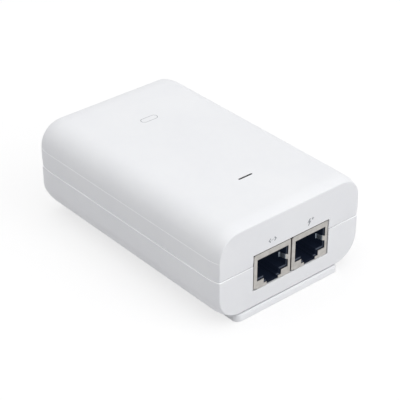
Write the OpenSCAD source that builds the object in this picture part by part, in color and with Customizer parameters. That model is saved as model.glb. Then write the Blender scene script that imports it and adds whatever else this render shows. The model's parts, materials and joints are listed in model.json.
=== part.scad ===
// Power-over-Ethernet injector: a white two-part case with two shielded network sockets in its
// front, a mains inlet in its back, a light bar in its top and a slide-off wall bracket below.
// Millimetres. +X is right seen from the sockets, +Y runs from the sockets to the inlet, +Z is up.
// The origin is the middle of the outline on the surface that the bracket stands on.

/* [Case] */
// Width of the case
body_w = 63; // [60:0.5:70]
// Length of the case, from socket face to inlet face
body_l = 95; // [93:0.5:110]
// Height of the case without the bracket
body_h = 33.4; // [32.5:0.1:38]
// Radius of the four long edges of the case
corner_r = 9.7; // [8:0.1:11]
// Thickness of the case walls
wall = 2.2; // [1.8:0.1:2.4]
// Length over which the case narrows towards each end face
lead_l = 5.3; // [3:0.1:8]
// How far each side has come in at the end face
lead_in = 1.05; // [0.4:0.05:1.4]
// Width of the shadow line between the two halves
seam_gap = 0.24; // [0.1:0.02:0.4]
// Thickness of the tongue that joins the halves
tongue_t = 1; // [0.8:0.1:1.2]
// Height of the tongue above the seam
tongue_h = 1.5; // [1:0.1:2.5]

/* [Wall bracket] */
// Width of the bracket
bracket_w = 46; // [42:0.5:50]
// Distance of the bracket's back edge from the inlet end of the case
bracket_back = 9; // [4:0.5:12]
// Thickness of the bracket plate
bracket_t = 2.4; // [2:0.1:3]
// Plan radius of the bracket corners
bracket_r = 3.8; // [2:0.1:6]
// Air between the bracket and the case
bracket_gap = 0.2; // [0.1:0.05:0.4]
// Distance between the two wall screws
screw_pitch = 50; // [46:1:52]
// Place of the point midway between them, along the case
screw_y = -10; // [-13:0.5:-8]
// Diameter of the wall screw holes
screw_hole_d = 4.2; // [3.5:0.1:4.8]
// Diameter of the countersinks
screw_head_d = 7.8; // [7:0.1:9]
// Depth of the countersinks
screw_head_depth = 1.5; // [1:0.1:1.7]
// Width of each hook
hook_w = 6; // [4:0.5:8]
// Thickness of the hook's upright and of its lip
hook_t = 1.6; // [1.2:0.1:1.7]
// Length of the hook's lip past its upright
hook_lip = 4; // [3:0.1:5]
// Distance between the hooks across the case
hook_pitch_x = 30; // [26:1:34]
// Distance between the hooks along the case
hook_pitch_y = 52; // [46:1:54]
// Thickness of the ledge that the lip slides over
ledge_t = 1.3; // [1:0.1:1.5]
// Width of the spring tongue in the bracket
catch_w = 9; // [7:0.5:12]
// Length of the spring tongue
catch_l = 13; // [10:0.5:14]
// Height of the bump on the spring tongue
catch_bump = 0.15; // [0.05:0.01:0.15]
// Depth of the two recesses below the bracket
bracket_recess = 0.7; // [0.4:0.1:0.8]

/* [Network sockets] */
// Width of one socket
jack_w = 16; // [15.6:0.1:16.4]
// Height of one socket
jack_h = 13.2; // [13:0.1:13.8]
// Depth of one socket
jack_l = 18.5; // [18:0.1:20]
// Distance between the socket centres
jack_pitch = 16.6; // [16.5:0.1:17.5]
// Offset of the pair from the middle of the case
jack_x = 0.35; // [-1:0.05:1]
// Offset of their opening from the middle of the pair
port_shift = 0.1; // [-0.15:0.05:0.15]
// Set-back of the sockets behind the front face
jack_recess = 0.3; // [0.1:0.1:0.6]
// Clearance between the sockets and their opening
jack_gap = 0.2; // [0.1:0.05:0.3]
// Thickness of the shield's sheet metal
shield_t = 0.3; // [0.2:0.05:0.4]
// Width of the cut-out in the shield
shield_cut_w = 13; // [12.6:0.1:13.4]
// Height of the wide part of the cut-out
shield_cut_h = 7.9; // [7.6:0.1:8.2]
// Width of the plug cavity
plug_w = 11.9; // [11.7:0.1:12.1]
// Height of the plug cavity
plug_h = 6.9; // [6.7:0.1:7.1]
// Depth of the plug cavity
plug_l = 13; // [12.5:0.1:13.5]
// Width of the latch channel
latch_w = 6.6; // [6.2:0.1:7]
// Width of the slot in the bottom of the latch channel
latch_slot_w = 4.4; // [4:0.1:4.8]
// Distance between neighbouring contact wires
wire_pitch = 1.02; // [1:0.01:1.05]
// Width and thickness of one contact wire
wire_t = 0.4; // [0.3:0.02:0.44]
// Drop of the sprung wires from their bend to their tip
spring_drop = 2; // [1.5:0.1:2.2]

/* [Mains inlet] */
// Width of the inlet
inlet_w = 27.2; // [26.5:0.1:27.6]
// Height of the inlet
inlet_h = 19.8; // [19.5:0.1:20.2]
// Depth of the inlet
inlet_l = 20; // [19.5:0.1:21]
// Width of the inlet's cavity
inlet_cavity_w = 24; // [23.5:0.1:24.2]
// Height of the inlet's cavity
inlet_cavity_h = 16.6; // [16.2:0.1:16.8]
// Depth of the inlet's cavity
inlet_cavity_l = 16.5; // [16:0.1:17]
// Size of the cavity's two cut corners
inlet_chamfer = 5; // [4:0.1:5.5]
// Distance between the line and neutral pins
inlet_pin_pitch = 14; // [13.8:0.1:14.2]
// Height of the earth pin above the other two
inlet_earth_rise = 4; // [3.8:0.1:4.2]
// Thickness of a pin
inlet_pin_t = 2; // [1.9:0.05:2.1]
// Width of a pin
inlet_pin_w = 4; // [3.9:0.05:4.1]
// Set-back of the pins behind the mouth
inlet_pin_setback = 1; // [0.5:0.1:2]
// Set-back of the inlet behind the back face
inlet_recess = 0.2; // [0.1:0.1:0.5]
// Clearance between the inlet and its opening
inlet_gap = 0.15; // [0.1:0.05:0.3]

/* [Light] */
// Length of the light bar
light_w = 6; // [4:0.1:8]
// Width of the light bar
light_t = 0.8; // [0.6:0.1:1.2]
// Distance of the light bar behind the front face
light_y = 22.4; // [22:0.1:24]
// Clearance of the light pipe in its slot
light_gap = 0.05; // [0.02:0.01:0.1]

/* [Board] */
// Thickness of the circuit board
board_t = 1.6; // [1.2:0.1:1.8]
// Clearance between the board and the walls
board_gap = 0.6; // [0.4:0.1:0.8]
// Diameter of the board posts
post_d = 5; // [4:0.1:5.5]
// Diameter of the pins on the posts
post_pin_d = 2.3; // [2:0.1:2.6]
// Clearance of pins and leads in the board's holes
hole_gap = 0.15; // [0.1:0.01:0.2]
// Length of the leads below the board
lead_stub = 1.2; // [0.8:0.1:1.3]
// Thickness of the insulation sheet below the board
sheet_t = 0.25; // [0.15:0.05:0.35]
// Clearance between the leads and the sheet
lead_gap = 0.15; // [0.1:0.05:0.4]

/* [Power parts] */
// Diameter of the bulk capacitor
bulk_d = 14; // [12:0.5:14.5]
// Height of the bulk capacitor
bulk_h = 18; // [15:0.5:21]
// Width of the transformer core
core_w = 23; // [21:0.5:24]
// Height of the transformer core
core_h = 17.5; // [16:0.5:20]
// Thickness of the transformer core
core_t = 10; // [8:0.5:10.5]
// Diameter of the mains choke's ring
choke_d = 14; // [12:0.5:14.5]
// Thickness of the mains choke's ring
choke_t = 7; // [6:0.5:7.5]
// Diameter of the output capacitors
output_cap_d = 8; // [6:0.5:8.5]
// Height of the output capacitors
output_cap_h = 14; // [12:0.5:18]
// Diameter of the output inductor
inductor_d = 6; // [5:0.1:6]
// Thickness of the heatsinks
sink_t = 1.5; // [1:0.1:2]
// Length of the heatsinks
sink_l = 19; // [16:0.5:20]
// Height of the heatsinks
sink_h = 17; // [16.5:0.1:19]
// Diameter of the fuse
fuse_d = 3.6; // [3:0.1:4]
// Length of the fuse
fuse_l = 10; // [9:0.5:12]
// Width of the mains filter capacitor
x_cap_w = 8.5; // [7:0.5:9]
// Length of the mains filter capacitor
x_cap_l = 13; // [11:0.5:14]
// Height of the mains filter capacitor
x_cap_h = 14.5; // [12:0.5:18]
// Diameter of the surge varistor
varistor_d = 12; // [10:0.5:13]
// Thickness of the surge varistor
varistor_t = 4.2; // [3.5:0.1:5]
// Diameter of the inrush thermistor
thermistor_d = 9; // [8:0.5:11]
// Thickness of the inrush thermistor
thermistor_t = 4; // [3:0.1:4.5]
// Diameter of the safety capacitor
y_cap_d = 8; // [7:0.5:8.5]
// Thickness of the safety capacitor
y_cap_t = 3.6; // [3:0.1:4]
// Width of the bridge rectifier
bridge_w = 14.5; // [13:0.5:15]
// Thickness of the bridge rectifier
bridge_t = 3.5; // [3:0.1:4]
// Height of the bridge rectifier
bridge_h = 11; // [9:0.5:14]

/* [Hidden] */
$fn = 64;

eps = 0.01;
case_z0 = bracket_t + bracket_gap;      // underside of the case
case_z1 = case_z0 + body_h;             // top of the case
seam_z = case_z0 + body_h / 2;
front_y = -body_l / 2;
back_y = body_l / 2;
in_w = body_w - 2 * wall;
in_l = body_l - 2 * wall;
in_h = body_h - 2 * wall;
in_r = corner_r - wall;                 // radius of the long corners inside the case
floor_z = case_z0 + wall;
ceiling_z = case_z1 - wall;
lead_arc_r = (lead_l * lead_l + lead_in * lead_in) / (2 * lead_in);

// Half the width inside the lower half of the case at height z, in its round corners.
function half_width_at(z) =
    in_w / 2 - in_r + sqrt(in_r * in_r - pow(max(0, floor_z + in_r - z), 2));

hook_fit = 0.3;                         // clearance beside and at the ends of a hook
hook_rise = 0.15;                       // clearance above and below a hook's lip
slide_travel = hook_lip + 1;            // travel that frees the hooks
ledge_z1 = case_z0 + ledge_t;           // top of the ledges that the hooks slide over
hook_z0 = ledge_z1 + hook_rise;
hook_z1 = hook_z0 + hook_t;
pocket_z1 = hook_z1 + hook_rise;
pad_side = 1.4;                         // plastic round a hook pocket
pad_z1 = pocket_z1 + 0.9;
hook_ys = [-hook_pitch_y / 2 - 4, hook_pitch_y / 2 - 4];
bracket_l = body_l - bracket_back;

lead_z = pad_z1 + sheet_t + lead_gap;   // tips of all leads
board_z0 = lead_z + lead_stub;
board_z1 = board_z0 + board_t;          // top of the board
board_w = 2 * (half_width_at(board_z0) - board_gap);
board_l = in_l - 2 * board_gap;
lead_d = 0.8;

post_x = board_w / 2 - 4;
post_y = board_l / 2 - 3.3;
rib_w = 3;                              // ribs in the top cover that hold the board down
rib_t = 1.6;
rib_ys = [front_y + 8, back_y - 21.5];

jack_y = front_y + jack_recess;
jack_xs = [jack_x - jack_pitch / 2, jack_x + jack_pitch / 2];
port_w = jack_pitch + jack_w + 2 * jack_gap;
shield_cut_z = 3.05;                    // lower edge of the wide cut-out above the board
plug_z = 3.5;                           // lower side of the plug cavity above the board
housing_l = 14.35;                      // length of the socket's plastic body
part_gap = 0.05;                        // clearance between the pieces of a socket
channel_d = 1.3;                        // depth of the wires' channel above the plug cavity
wire_z1 = plug_z + plug_h + channel_d;  // top of the fixed wires above the board
wire_y1 = shield_t + part_gap + housing_l + part_gap + wire_t;
knuckle_y = 3.2;                        // bend of the sprung wires behind the socket's face
knuckle_z = wire_z1 - wire_t - part_gap - wire_t / 2;
spring_l = 7;
spring_angle = asin(spring_drop / spring_l);

inlet_y0 = back_y - inlet_recess - inlet_l;
inlet_z = board_z1 + inlet_h / 2;
inlet_tail = 1.4;                       // length of the pins behind the inlet
pin_fit = 0.03;

pipe_y = front_y + light_y;
led_h = 0.9;

screw_d = 2.9;                          // heatsink screws
device_w = 10;                          // a flat power device: its width, its body's height
device_h = 9;                           // and thickness, and its metal tab
device_t = 4.4;
tab_t = 1.3;
tab_h = 6;
device_rise = 2;                        // air below it
pad_t = 0.25;                           // insulating pad behind it
pad_edge = 1;
screw_z = board_z1 + device_rise + device_h + tab_h / 2;
choke_wall = 3.2;                       // the ring's section, out from its hole
choke_wire = 1.2;                       // thickness of the windings round it
core_leg = 3.5;                         // outer legs and yokes of the core
core_mid = 7;                           // middle leg
coil_fit = 0.2;                         // clearance of the bobbin in the core
bobbin_t = 0.8;
coil_x = core_w / 2 - core_leg - 0.3;   // half the width of the winding
coil_t = coil_x - core_mid / 2 - coil_fit - bobbin_t;
coil_y = core_t / 2 + coil_fit + bobbin_t + coil_t;
chip_w = 4;                             // a small chip: its body and its feet
chip_l = 5;
chip_h = 1.5;
foot_l = 0.8;
magnetics_w = 10.4;
magnetics_l = 7.2;
magnetics_h = 5.8;
opto_w = 6.4;
opto_l = 4.6;
small_w = 1.6;                          // a chip resistor or capacitor
small_l = 0.8;
small_h = 0.5;
small_step = 2;
stem_w = 3;                             // the light pipe's stem
stem_t = 1.6;

// The board between the sockets and the inlet holds rows and columns of parts with equal gaps.
// The middle of the n-th of several pieces, spread from a to b with equal gaps.
function total(list, n) = n == 0 ? 0 : total(list, n - 1) + list[n - 1];
function spread(list, n, a, b) = let (gap = (b - a - total(list, len(list))) / (len(list) + 1))
    a + total(list, n) + list[n] / 2 + (n + 1) * gap;

row_y0 = jack_y + jack_l;
row_y1 = inlet_y0 - inlet_tail;
side_x = board_w / 2;
sink_x = side_x - 2;
device_x = sink_x - sink_t / 2 - pad_t - device_t;  // inner face of the power devices

left_column = [magnetics_l, sink_l, choke_t + 2 * choke_wire];
middle_column = [chip_l, 2 * coil_y, opto_l, thermistor_t, bridge_t];
right_column = [sink_l, bulk_d, varistor_t];
front_row = [magnetics_w + 2 * foot_l, 2 * small_step, chip_w + 2 * foot_l];
core_row = [core_w, output_cap_d];
choke_row = [choke_d + 2 * choke_wire, opto_w + 1.2, chip_w + 2 * foot_l, y_cap_t, bulk_d];

front_row_y = spread(middle_column, 0, row_y0, row_y1);
choke_row_y = spread(middle_column, 2, row_y0, row_y1);
magnetics_at = [spread(front_row, 0, -side_x, -stem_w / 2), spread(left_column, 0, row_y0, row_y1)];
small_at = [spread(front_row, 1, -side_x, -stem_w / 2), front_row_y];
power_chip_at = [spread(front_row, 2, -side_x, -stem_w / 2), front_row_y];
sink_ys = [spread(left_column, 1, row_y0, row_y1), spread(right_column, 0, row_y0, row_y1)];
transformer_at = [spread(core_row, 0, -device_x, device_x), spread(middle_column, 1, row_y0, row_y1)];
choke_at = [spread(choke_row, 0, -side_x, side_x), spread(left_column, 2, row_y0, row_y1)];
opto_at = [spread(choke_row, 1, -side_x, side_x), choke_row_y];
controller_at = [spread(choke_row, 2, -side_x, side_x), choke_row_y];
bulk_at = [spread(choke_row, 4, -side_x, side_x), spread(right_column, 1, row_y0, row_y1)];
y_cap_at = [spread(choke_row, 3, -side_x, side_x), bulk_at.y];
varistor_at = [bulk_at.x, spread(right_column, 2, row_y0, row_y1)];
bridge_x = (choke_at.x + choke_d / 2 + choke_wire + bulk_at.x - bulk_d / 2) / 2;
thermistor_at = [bridge_x, spread(middle_column, 3, row_y0, row_y1)];
bridge_at = [bridge_x, spread(middle_column, 4, row_y0, row_y1)];
output_cap_x = spread(core_row, 1, -device_x, device_x);
output_cap_at = [for (n = [0, 1])
    [output_cap_x, spread([output_cap_d, output_cap_d], n, row_y0, bulk_at.y - bulk_d / 2)]];
inductor_at = [(stem_w / 2 + output_cap_x - output_cap_d / 2) / 2, row_y0 + 1.5 + inductor_d / 2];
fuse_at = [inlet_w / 2 + 1.2 + fuse_d / 2, inlet_y0 + 6];
x_cap_at = [-inlet_w / 2 - 1.2 - x_cap_w / 2, inlet_y0 + 5];

// ---------- case ----------

// Half of the case's outline along its length: as wide as half, drawn in by an arc at each end.
module end_profile(half) {
    straight = body_l / 2 - lead_l;
    translate([0, -straight]) square([half, 2 * straight]);
    for (end = [-1, 1])
        intersection() {
            translate([half - lead_arc_r, end * straight]) circle(lead_arc_r, $fn = 180);
            translate([0, end > 0 ? straight : -straight - lead_l]) square([half + 1, lead_l]);
        }
}

// The upper half of the solid case, standing on z = 0.
module case_half() {
    rotate([0, -90, 0])
        linear_extrude(body_w - 2 * corner_r, center = true) end_profile(body_h / 2);
    for (side = [0, 1]) mirror([side, 0, 0]) {
        translate([body_w / 2 - corner_r, 0, 0])
            linear_extrude(body_h / 2 - corner_r) end_profile(corner_r);
        translate([body_w / 2 - corner_r, 0, body_h / 2 - corner_r]) rotate([90, 0, 0])
            rotate_extrude(angle = 90) end_profile(corner_r);
    }
}

// The upper half of the inside of the case, standing on z = 0 and open below it.
module cavity_half() {
    translate([-in_w / 2 + in_r, -in_l / 2, -1]) cube([in_w - 2 * in_r, in_l, in_h / 2 + 1]);
    translate([-in_w / 2, -in_l / 2, -1]) cube([in_w, in_l, in_h / 2 - in_r + 1]);
    for (side = [-1, 1])
        translate([side * (in_w / 2 - in_r), 0, in_h / 2 - in_r]) rotate([90, 0, 0])
            cylinder(r = in_r, h = in_l, center = true);
}

// A flat frame, as wide as t, round a rectangle of the inside's size grown by grow.
module wall_ring(grow, t, z0, z1) {
    translate([0, 0, z0]) difference() {
        translate([-in_w / 2 - grow - t, -in_l / 2 - grow - t, 0])
            cube([in_w + 2 * (grow + t), in_l + 2 * (grow + t), z1 - z0]);
        translate([-in_w / 2 - grow, -in_l / 2 - grow, -1])
            cube([in_w + 2 * grow, in_l + 2 * grow, z1 - z0 + 2]);
    }
}

// What the sockets and the inlet pass through.
module face_openings() {
    translate([jack_x + port_shift - port_w / 2, front_y - 1, board_z1 - jack_gap])
        cube([port_w, wall + 2, jack_h + 2 * jack_gap]);
    translate([-inlet_w / 2 - inlet_gap, back_y - wall - 1, board_z1 - inlet_gap])
        cube([inlet_w + 2 * inlet_gap, wall + 2, inlet_h + 2 * inlet_gap]);
}

// A collar below the ceiling that holds the light pipe's flange.
module pipe_collar() {
    translate([0, pipe_y, ceiling_z - 2]) difference() {
        translate([-light_w / 2 - 2.2, -2.5, 0]) cube([light_w + 4.4, 5, 2 + wall / 2]);
        translate([-light_w / 2 - 1.2, -1.5, -1]) cube([light_w + 2.4, 3, 3]);
    }
}

// Ribs that grow from the side walls above the tongue and end just above the board.
module hold_down_ribs() {
    root_z = seam_z + tongue_h + 1;
    for (side = [0, 1], y = rib_ys) mirror([side, 0, 0]) {
        translate([board_w / 2 - 2, y, board_z1 + 0.1])
            cube([rib_w, rib_t, ceiling_z - 5 - board_z1]);
        translate([board_w / 2 - 2, y, root_z])
            cube([in_w / 2 - board_w / 2 + 2 + wall / 2, rib_t, ceiling_z - 5 - root_z]);
    }
}

module top_cover() {
    fit = 0.05;
    color("white") difference() {
        union() {
            difference() {
                translate([0, 0, seam_z]) case_half();
                translate([0, 0, seam_z]) cavity_half();
                translate([-body_w, -body_l, seam_z - 1])
                    cube([2 * body_w, 2 * body_l, 1 + seam_gap / 2]);
                wall_ring(-eps, tongue_t + fit + eps, seam_z - 1, seam_z + tongue_h);
            }
            hold_down_ribs();
            pipe_collar();
        }
        face_openings();
        translate([-light_w / 2, pipe_y - light_t / 2, ceiling_z - 1])
            cube([light_w, light_t, wall + 2]);
    }
}

// The space in which one hook slides: a window in the floor, and the room behind its ledge.
module hook_pocket() {
    w = hook_w + 2 * hook_fit;
    translate([-w / 2, -slide_travel - hook_fit, case_z0 - 1])
        cube([w, slide_travel + hook_t + 2 * hook_fit, pocket_z1 - case_z0 + 1]);
    translate([-w / 2, 0, ledge_z1])
        cube([w, hook_t + hook_lip + hook_fit, pocket_z1 - ledge_z1]);
}

// The block on the floor that a hook pocket is cut into.
module hook_pad() {
    w = hook_w + 2 * hook_fit + 2 * pad_side;
    l = slide_travel + hook_t + hook_lip + 2 * hook_fit + 2 * pad_side;
    translate([-w / 2, -slide_travel - hook_fit - pad_side, floor_z - eps])
        cube([w, l, pad_z1 - floor_z + eps]);
}

// A post that carries one corner of the board, with a pin through the board.
module board_post() {
    translate([0, 0, floor_z - 0.1]) cylinder(d = post_d, h = board_z0 - floor_z + 0.1);
    translate([0, 0, board_z0 - 1]) cylinder(d = post_pin_d, h = board_t + 2.3);
}

module bottom_cover() {
    color("whitesmoke") difference() {
        union() {
            difference() {
                translate([0, 0, seam_z]) mirror([0, 0, 1]) case_half();
                translate([0, 0, seam_z]) mirror([0, 0, 1]) cavity_half();
                translate([-body_w, -body_l, seam_z - seam_gap / 2])
                    cube([2 * body_w, 2 * body_l, 2]);
            }
            wall_ring(0, tongue_t, seam_z - 1, seam_z + tongue_h);
            for (x = [-1, 1], y = hook_ys) translate([x * hook_pitch_x / 2, y, 0]) hook_pad();
            for (x = [-1, 1], y = [-1, 1]) translate([x * post_x, y * post_y, 0]) board_post();
        }
        face_openings();
        for (x = [-1, 1], y = hook_ys) translate([x * hook_pitch_x / 2, y, 0]) hook_pocket();
    }
}

// ---------- wall bracket ----------

// A plate with round corners, between two heights.
module round_plate(w, l, r, z0, z1) {
    translate([0, 0, z0]) linear_extrude(z1 - z0) {
        translate([-w / 2 + r, -l / 2]) square([w - 2 * r, l]);
        translate([-w / 2, -l / 2 + r]) square([w, l - 2 * r]);
        for (x = [-1, 1], y = [-1, 1]) translate([x * (w / 2 - r), y * (l / 2 - r)]) circle(r);
    }
}

// A hook: its upright on the plate, and its lip towards the inlet end.
module hook() {
    translate([-hook_w / 2, 0, bracket_t - eps])
        cube([hook_w, hook_t, hook_z1 - bracket_t + eps]);
    translate([-hook_w / 2, 0, hook_z0]) cube([hook_w, hook_t + hook_lip, hook_t]);
}

// The slits that free the spring tongue, which points to the inlet end.
module catch_slits(y0) {
    slit = 1;
    for (x = [-catch_w / 2 - slit, catch_w / 2])
        translate([x, y0, -1]) cube([slit, catch_l + slit, bracket_t + 2]);
    translate([-catch_w / 2 - slit, y0 + catch_l, -1])
        cube([catch_w + 2 * slit, slit, bracket_t + 2]);
}

module wall_bracket() {
    centre_y = front_y + bracket_l / 2;
    catch_y = front_y + bracket_l - 4 - catch_l;
    recess_w = bracket_w / 2 - screw_head_d / 2 - 3 - 3;
    color("gainsboro") union() {
        difference() {
            translate([0, centre_y, 0]) round_plate(bracket_w, bracket_l, bracket_r, 0, bracket_t);
            for (y = [-1, 1]) translate([0, screw_y + y * screw_pitch / 2, 0]) {
                translate([0, 0, -1]) cylinder(d = screw_hole_d, h = bracket_t + 2);
                translate([0, 0, bracket_t - screw_head_depth])
                    cylinder(d1 = screw_hole_d, d2 = screw_head_d, h = screw_head_depth);
            }
            for (x = [-1, 1])
                translate([x * (bracket_w / 2 - 3 - recess_w / 2), screw_y, 0])
                    round_plate(recess_w, screw_pitch + 14, 2, -1, bracket_recess);
            catch_slits(catch_y);
        }
        translate([-catch_w / 4, catch_y + catch_l - 3, bracket_t - eps])
            cube([catch_w / 2, 1.5, catch_bump + eps]);
        for (x = [-1, 1], y = hook_ys) translate([x * hook_pitch_x / 2, y, 0]) hook();
    }
}

// ---------- light ----------

module light_pipe() {
    flange_t = 1.2;
    stem_z0 = board_z1 + led_h + 0.2;
    color("dimgray") translate([0, pipe_y, 0]) union() {
        translate([-light_w / 2 + light_gap, -light_t / 2 + light_gap, ceiling_z - eps])
            cube([light_w - 2 * light_gap, light_t - 2 * light_gap, wall - 0.1 + eps]);
        translate([-light_w / 2 - 1.1, -1.4, ceiling_z - flange_t])
            cube([light_w + 2.2, 2.8, flange_t]);
        translate([-stem_w / 2, -stem_t / 2, stem_z0])
            cube([stem_w, stem_t, ceiling_z - stem_z0 - flange_t + eps]);
    }
}

module status_led() {
    color("lightyellow") translate([-1.6, pipe_y - 0.8, board_z1]) cube([3.2, 1.6, led_h]);
}

// ---------- network sockets ----------

// Moves a socket's pieces, which stand on z = 0 with their face at y = 0, to one of the two places.
module at_jack(i) {
    translate([jack_xs[i], jack_y, board_z1]) children();
}

// A box whose middle in x is at zero.
module centred_box(w, l, h, y, z) {
    translate([-w / 2, y, z]) cube([w, l, h]);
}

// The legs that hold a shield to the board, or their holes when grown.
module shield_legs(extra) {
    leg_l = 1.2;
    for (side = [-1, 1], y = [6, 13])
        translate([side * (jack_w - shield_t) / 2, y - extra, lead_z - board_z1 - eps])
            centred_box(shield_t + 2 * extra, leg_l + 2 * extra, board_z1 - lead_z + 2 * eps, 0, 0);
}

// A sheet metal box, open below, with a stepped window for a plug whose latch is at the bottom.
module jack_shield(i) {
    color("silver") at_jack(i) union() {
        difference() {
            centred_box(jack_w, jack_l, jack_h, 0, 0);
            centred_box(jack_w - 2 * shield_t, jack_l - 2 * shield_t, jack_h - shield_t + 1, shield_t, -1);
            centred_box(shield_cut_w, 2 * shield_t, shield_cut_h, -eps, shield_cut_z);
            centred_box(latch_w + 0.7, 2 * shield_t, 2, -eps, shield_cut_z - 1.55);
            centred_box(latch_slot_w + 0.15, 2 * shield_t, 2, -eps, -eps);
        }
        shield_legs(0);
    }
}

module jack_housing(i) {
    y0 = shield_t + part_gap;
    w = jack_w - 2 * shield_t - 2 * part_gap;
    channel_w = 7 * wire_pitch + wire_t + 1.2;
    color("#2a2c30") at_jack(i) difference() {
        centred_box(w, housing_l, jack_h - shield_t - part_gap, y0, 0);
        centred_box(plug_w, plug_l + 1, plug_h, y0 - 1, plug_z);
        centred_box(latch_w, plug_l + 1, 2, y0 - 1, plug_z - 1.6);
        centred_box(latch_slot_w, plug_l + 1, 2, y0 - 1, plug_z - 2.8);
        centred_box(channel_w, housing_l, channel_d + 1, 2.2, plug_z + plug_h - 1);
    }
}

// Eight upright and eight level wires, or the slots that they lie in when grown.
module fixed_wires(extra) {
    for (n = [0:7]) translate([(n - 3.5) * wire_pitch - wire_t / 2 - extra, 0, 0]) {
        translate([0, knuckle_y - wire_t / 2, wire_z1 - wire_t])
            cube([wire_t + 2 * extra, wire_y1 - knuckle_y + wire_t / 2 + extra, wire_t + extra]);
        translate([0, wire_y1 - wire_t, lead_z - board_z1])
            cube([wire_t + 2 * extra, wire_t + extra, wire_z1 - lead_z + board_z1]);
    }
}

module jack_wires(i) {
    color("goldenrod") at_jack(i) fixed_wires(0);
}

// The insert behind the plastic body that keeps the upright wires apart.
module jack_carrier(i) {
    y0 = wire_y1 - wire_t;
    color("#3b3d42") at_jack(i) difference() {
        centred_box(jack_w - 2 * shield_t - 2 * part_gap, jack_l - shield_t - part_gap - y0,
            jack_h - shield_t - part_gap, y0, 0);
        fixed_wires(pin_fit);
    }
}

// The eight wires that a plug presses up: each turns about its bend under the fixed wires.
module jack_springs(i) {
    color("gold") at_jack(i)
        for (n = [0:7]) translate([(n - 3.5) * wire_pitch, knuckle_y, knuckle_z]) {
            rotate([0, 90, 0]) cylinder(d = wire_t, h = wire_t, center = true);
            rotate([-spring_angle, 0, 0]) centred_box(wire_t, spring_l, wire_t, 0, -wire_t / 2);
        }
}

module jack_shield_left() { jack_shield(0); }
module jack_shield_right() { jack_shield(1); }
module jack_housing_left() { jack_housing(0); }
module jack_housing_right() { jack_housing(1); }
module jack_carrier_left() { jack_carrier(0); }
module jack_carrier_right() { jack_carrier(1); }
module jack_wires_left() { jack_wires(0); }
module jack_wires_right() { jack_wires(1); }
module jack_springs_left() { jack_springs(0); }
module jack_springs_right() { jack_springs(1); }

// ---------- mains inlet ----------

// Height of the middle of a pin; the earth pin is the middle one and stands higher.
function inlet_pin_z(x) = inlet_z + (x == 0 ? 1 : -1) * inlet_earth_rise / 2;

// The shape of the cavity from behind: a rectangle with two cut upper corners.
module inlet_outline() {
    w = inlet_cavity_w / 2;
    h = inlet_cavity_h / 2;
    c = inlet_chamfer;
    polygon([[-w, -h], [w, -h], [w, h - c], [w - c, h], [c - w, h], [-w, h - c]]);
}

module inlet_housing() {
    color("#26282b") difference() {
        centred_box(inlet_w, inlet_l, inlet_h, inlet_y0, board_z1);
        translate([0, inlet_y0 + inlet_l + 1, inlet_z]) rotate([90, 0, 0])
            linear_extrude(inlet_cavity_l + 1) inlet_outline();
        for (n = [-1:1]) inlet_pin(n, pin_fit);
    }
}

// A pin with a tail that turns down through the board, or its holes when grown.
module inlet_pin(n, extra) {
    leg_t = 0.8;
    x = n * inlet_pin_pitch / 2;
    tail_y = inlet_y0 - inlet_tail;
    l = inlet_l + inlet_tail - inlet_pin_setback;
    translate([x, 0, inlet_pin_z(n)])
        centred_box(inlet_pin_t + 2 * extra, l, inlet_pin_w + 2 * extra,
            tail_y, -inlet_pin_w / 2 - extra);
    translate([x, 0, 0])
        centred_box(inlet_pin_t + 2 * extra, leg_t + 2 * extra, inlet_pin_z(n) - lead_z,
            tail_y - extra, lead_z);
}

module inlet_line_pin() { color("lightsteelblue") inlet_pin(1, 0); }
module inlet_neutral_pin() { color("lightsteelblue") inlet_pin(-1, 0); }
module inlet_earth_pin() { color("lightsteelblue") inlet_pin(0, 0); }

// ---------- board ----------

// Round leads from just above the board to below it, or their holes when grown.
module leads(places, extra) {
    for (p = places) translate([p.x, p.y, lead_z])
        cylinder(d = lead_d + 2 * extra, h = board_z1 + 0.6 - lead_z);
}

// Two places, a distance apart along x or along y.
function pair_x(at, pitch) = [[at.x - pitch / 2, at.y], [at.x + pitch / 2, at.y]];
function pair_y(at, pitch) = [[at.x, at.y - pitch / 2], [at.x, at.y + pitch / 2]];

fuse_leads = pair_y(fuse_at, fuse_l - 2);
varistor_leads = pair_x(varistor_at, varistor_d * 0.6);
thermistor_leads = pair_x(thermistor_at, thermistor_d * 0.6);
x_cap_leads = pair_y(x_cap_at, x_cap_l - 3);
y_cap_leads = pair_y(y_cap_at, y_cap_d * 0.6);
bulk_leads = pair_x(bulk_at, bulk_d / 2);
inductor_leads = pair_x(inductor_at, inductor_d * 0.6);
bridge_leads = [for (n = [-1.5:1.5]) [bridge_at.x + n * bridge_w / 4, bridge_at.y]];
output_cap_leads = [for (at = output_cap_at, p = pair_y(at, output_cap_d / 2)) p];
choke_leads = [for (x = [-1, 1], y = [-1, 1])
    [choke_at.x + x * (choke_d / 2 - 1), choke_at.y + y * (choke_t / 2 + 0.6)]];
bobbin_pins = [for (x = [-1.5:1.5], y = [-1, 1])
    [transformer_at.x + x * coil_x / 2, transformer_at.y + y * (coil_y - 1.2)]];
opto_leads = [for (x = [-1, 1], y = [-1, 1])
    [opto_at.x + x * (opto_w / 2 + 0.2), opto_at.y + y * 1.27]];
transistor_x = device_x + device_t / 2;
transistor_leads = [for (s = [0, 1], n = [-1:1])
    [(2 * s - 1) * transistor_x, sink_ys[s] + n * device_w / 4]];
sink_pins = [for (s = [0, 1], n = [-1, 1]) [(2 * s - 1) * sink_x, sink_ys[s] + n * (sink_l / 2 - 2)]];

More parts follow.
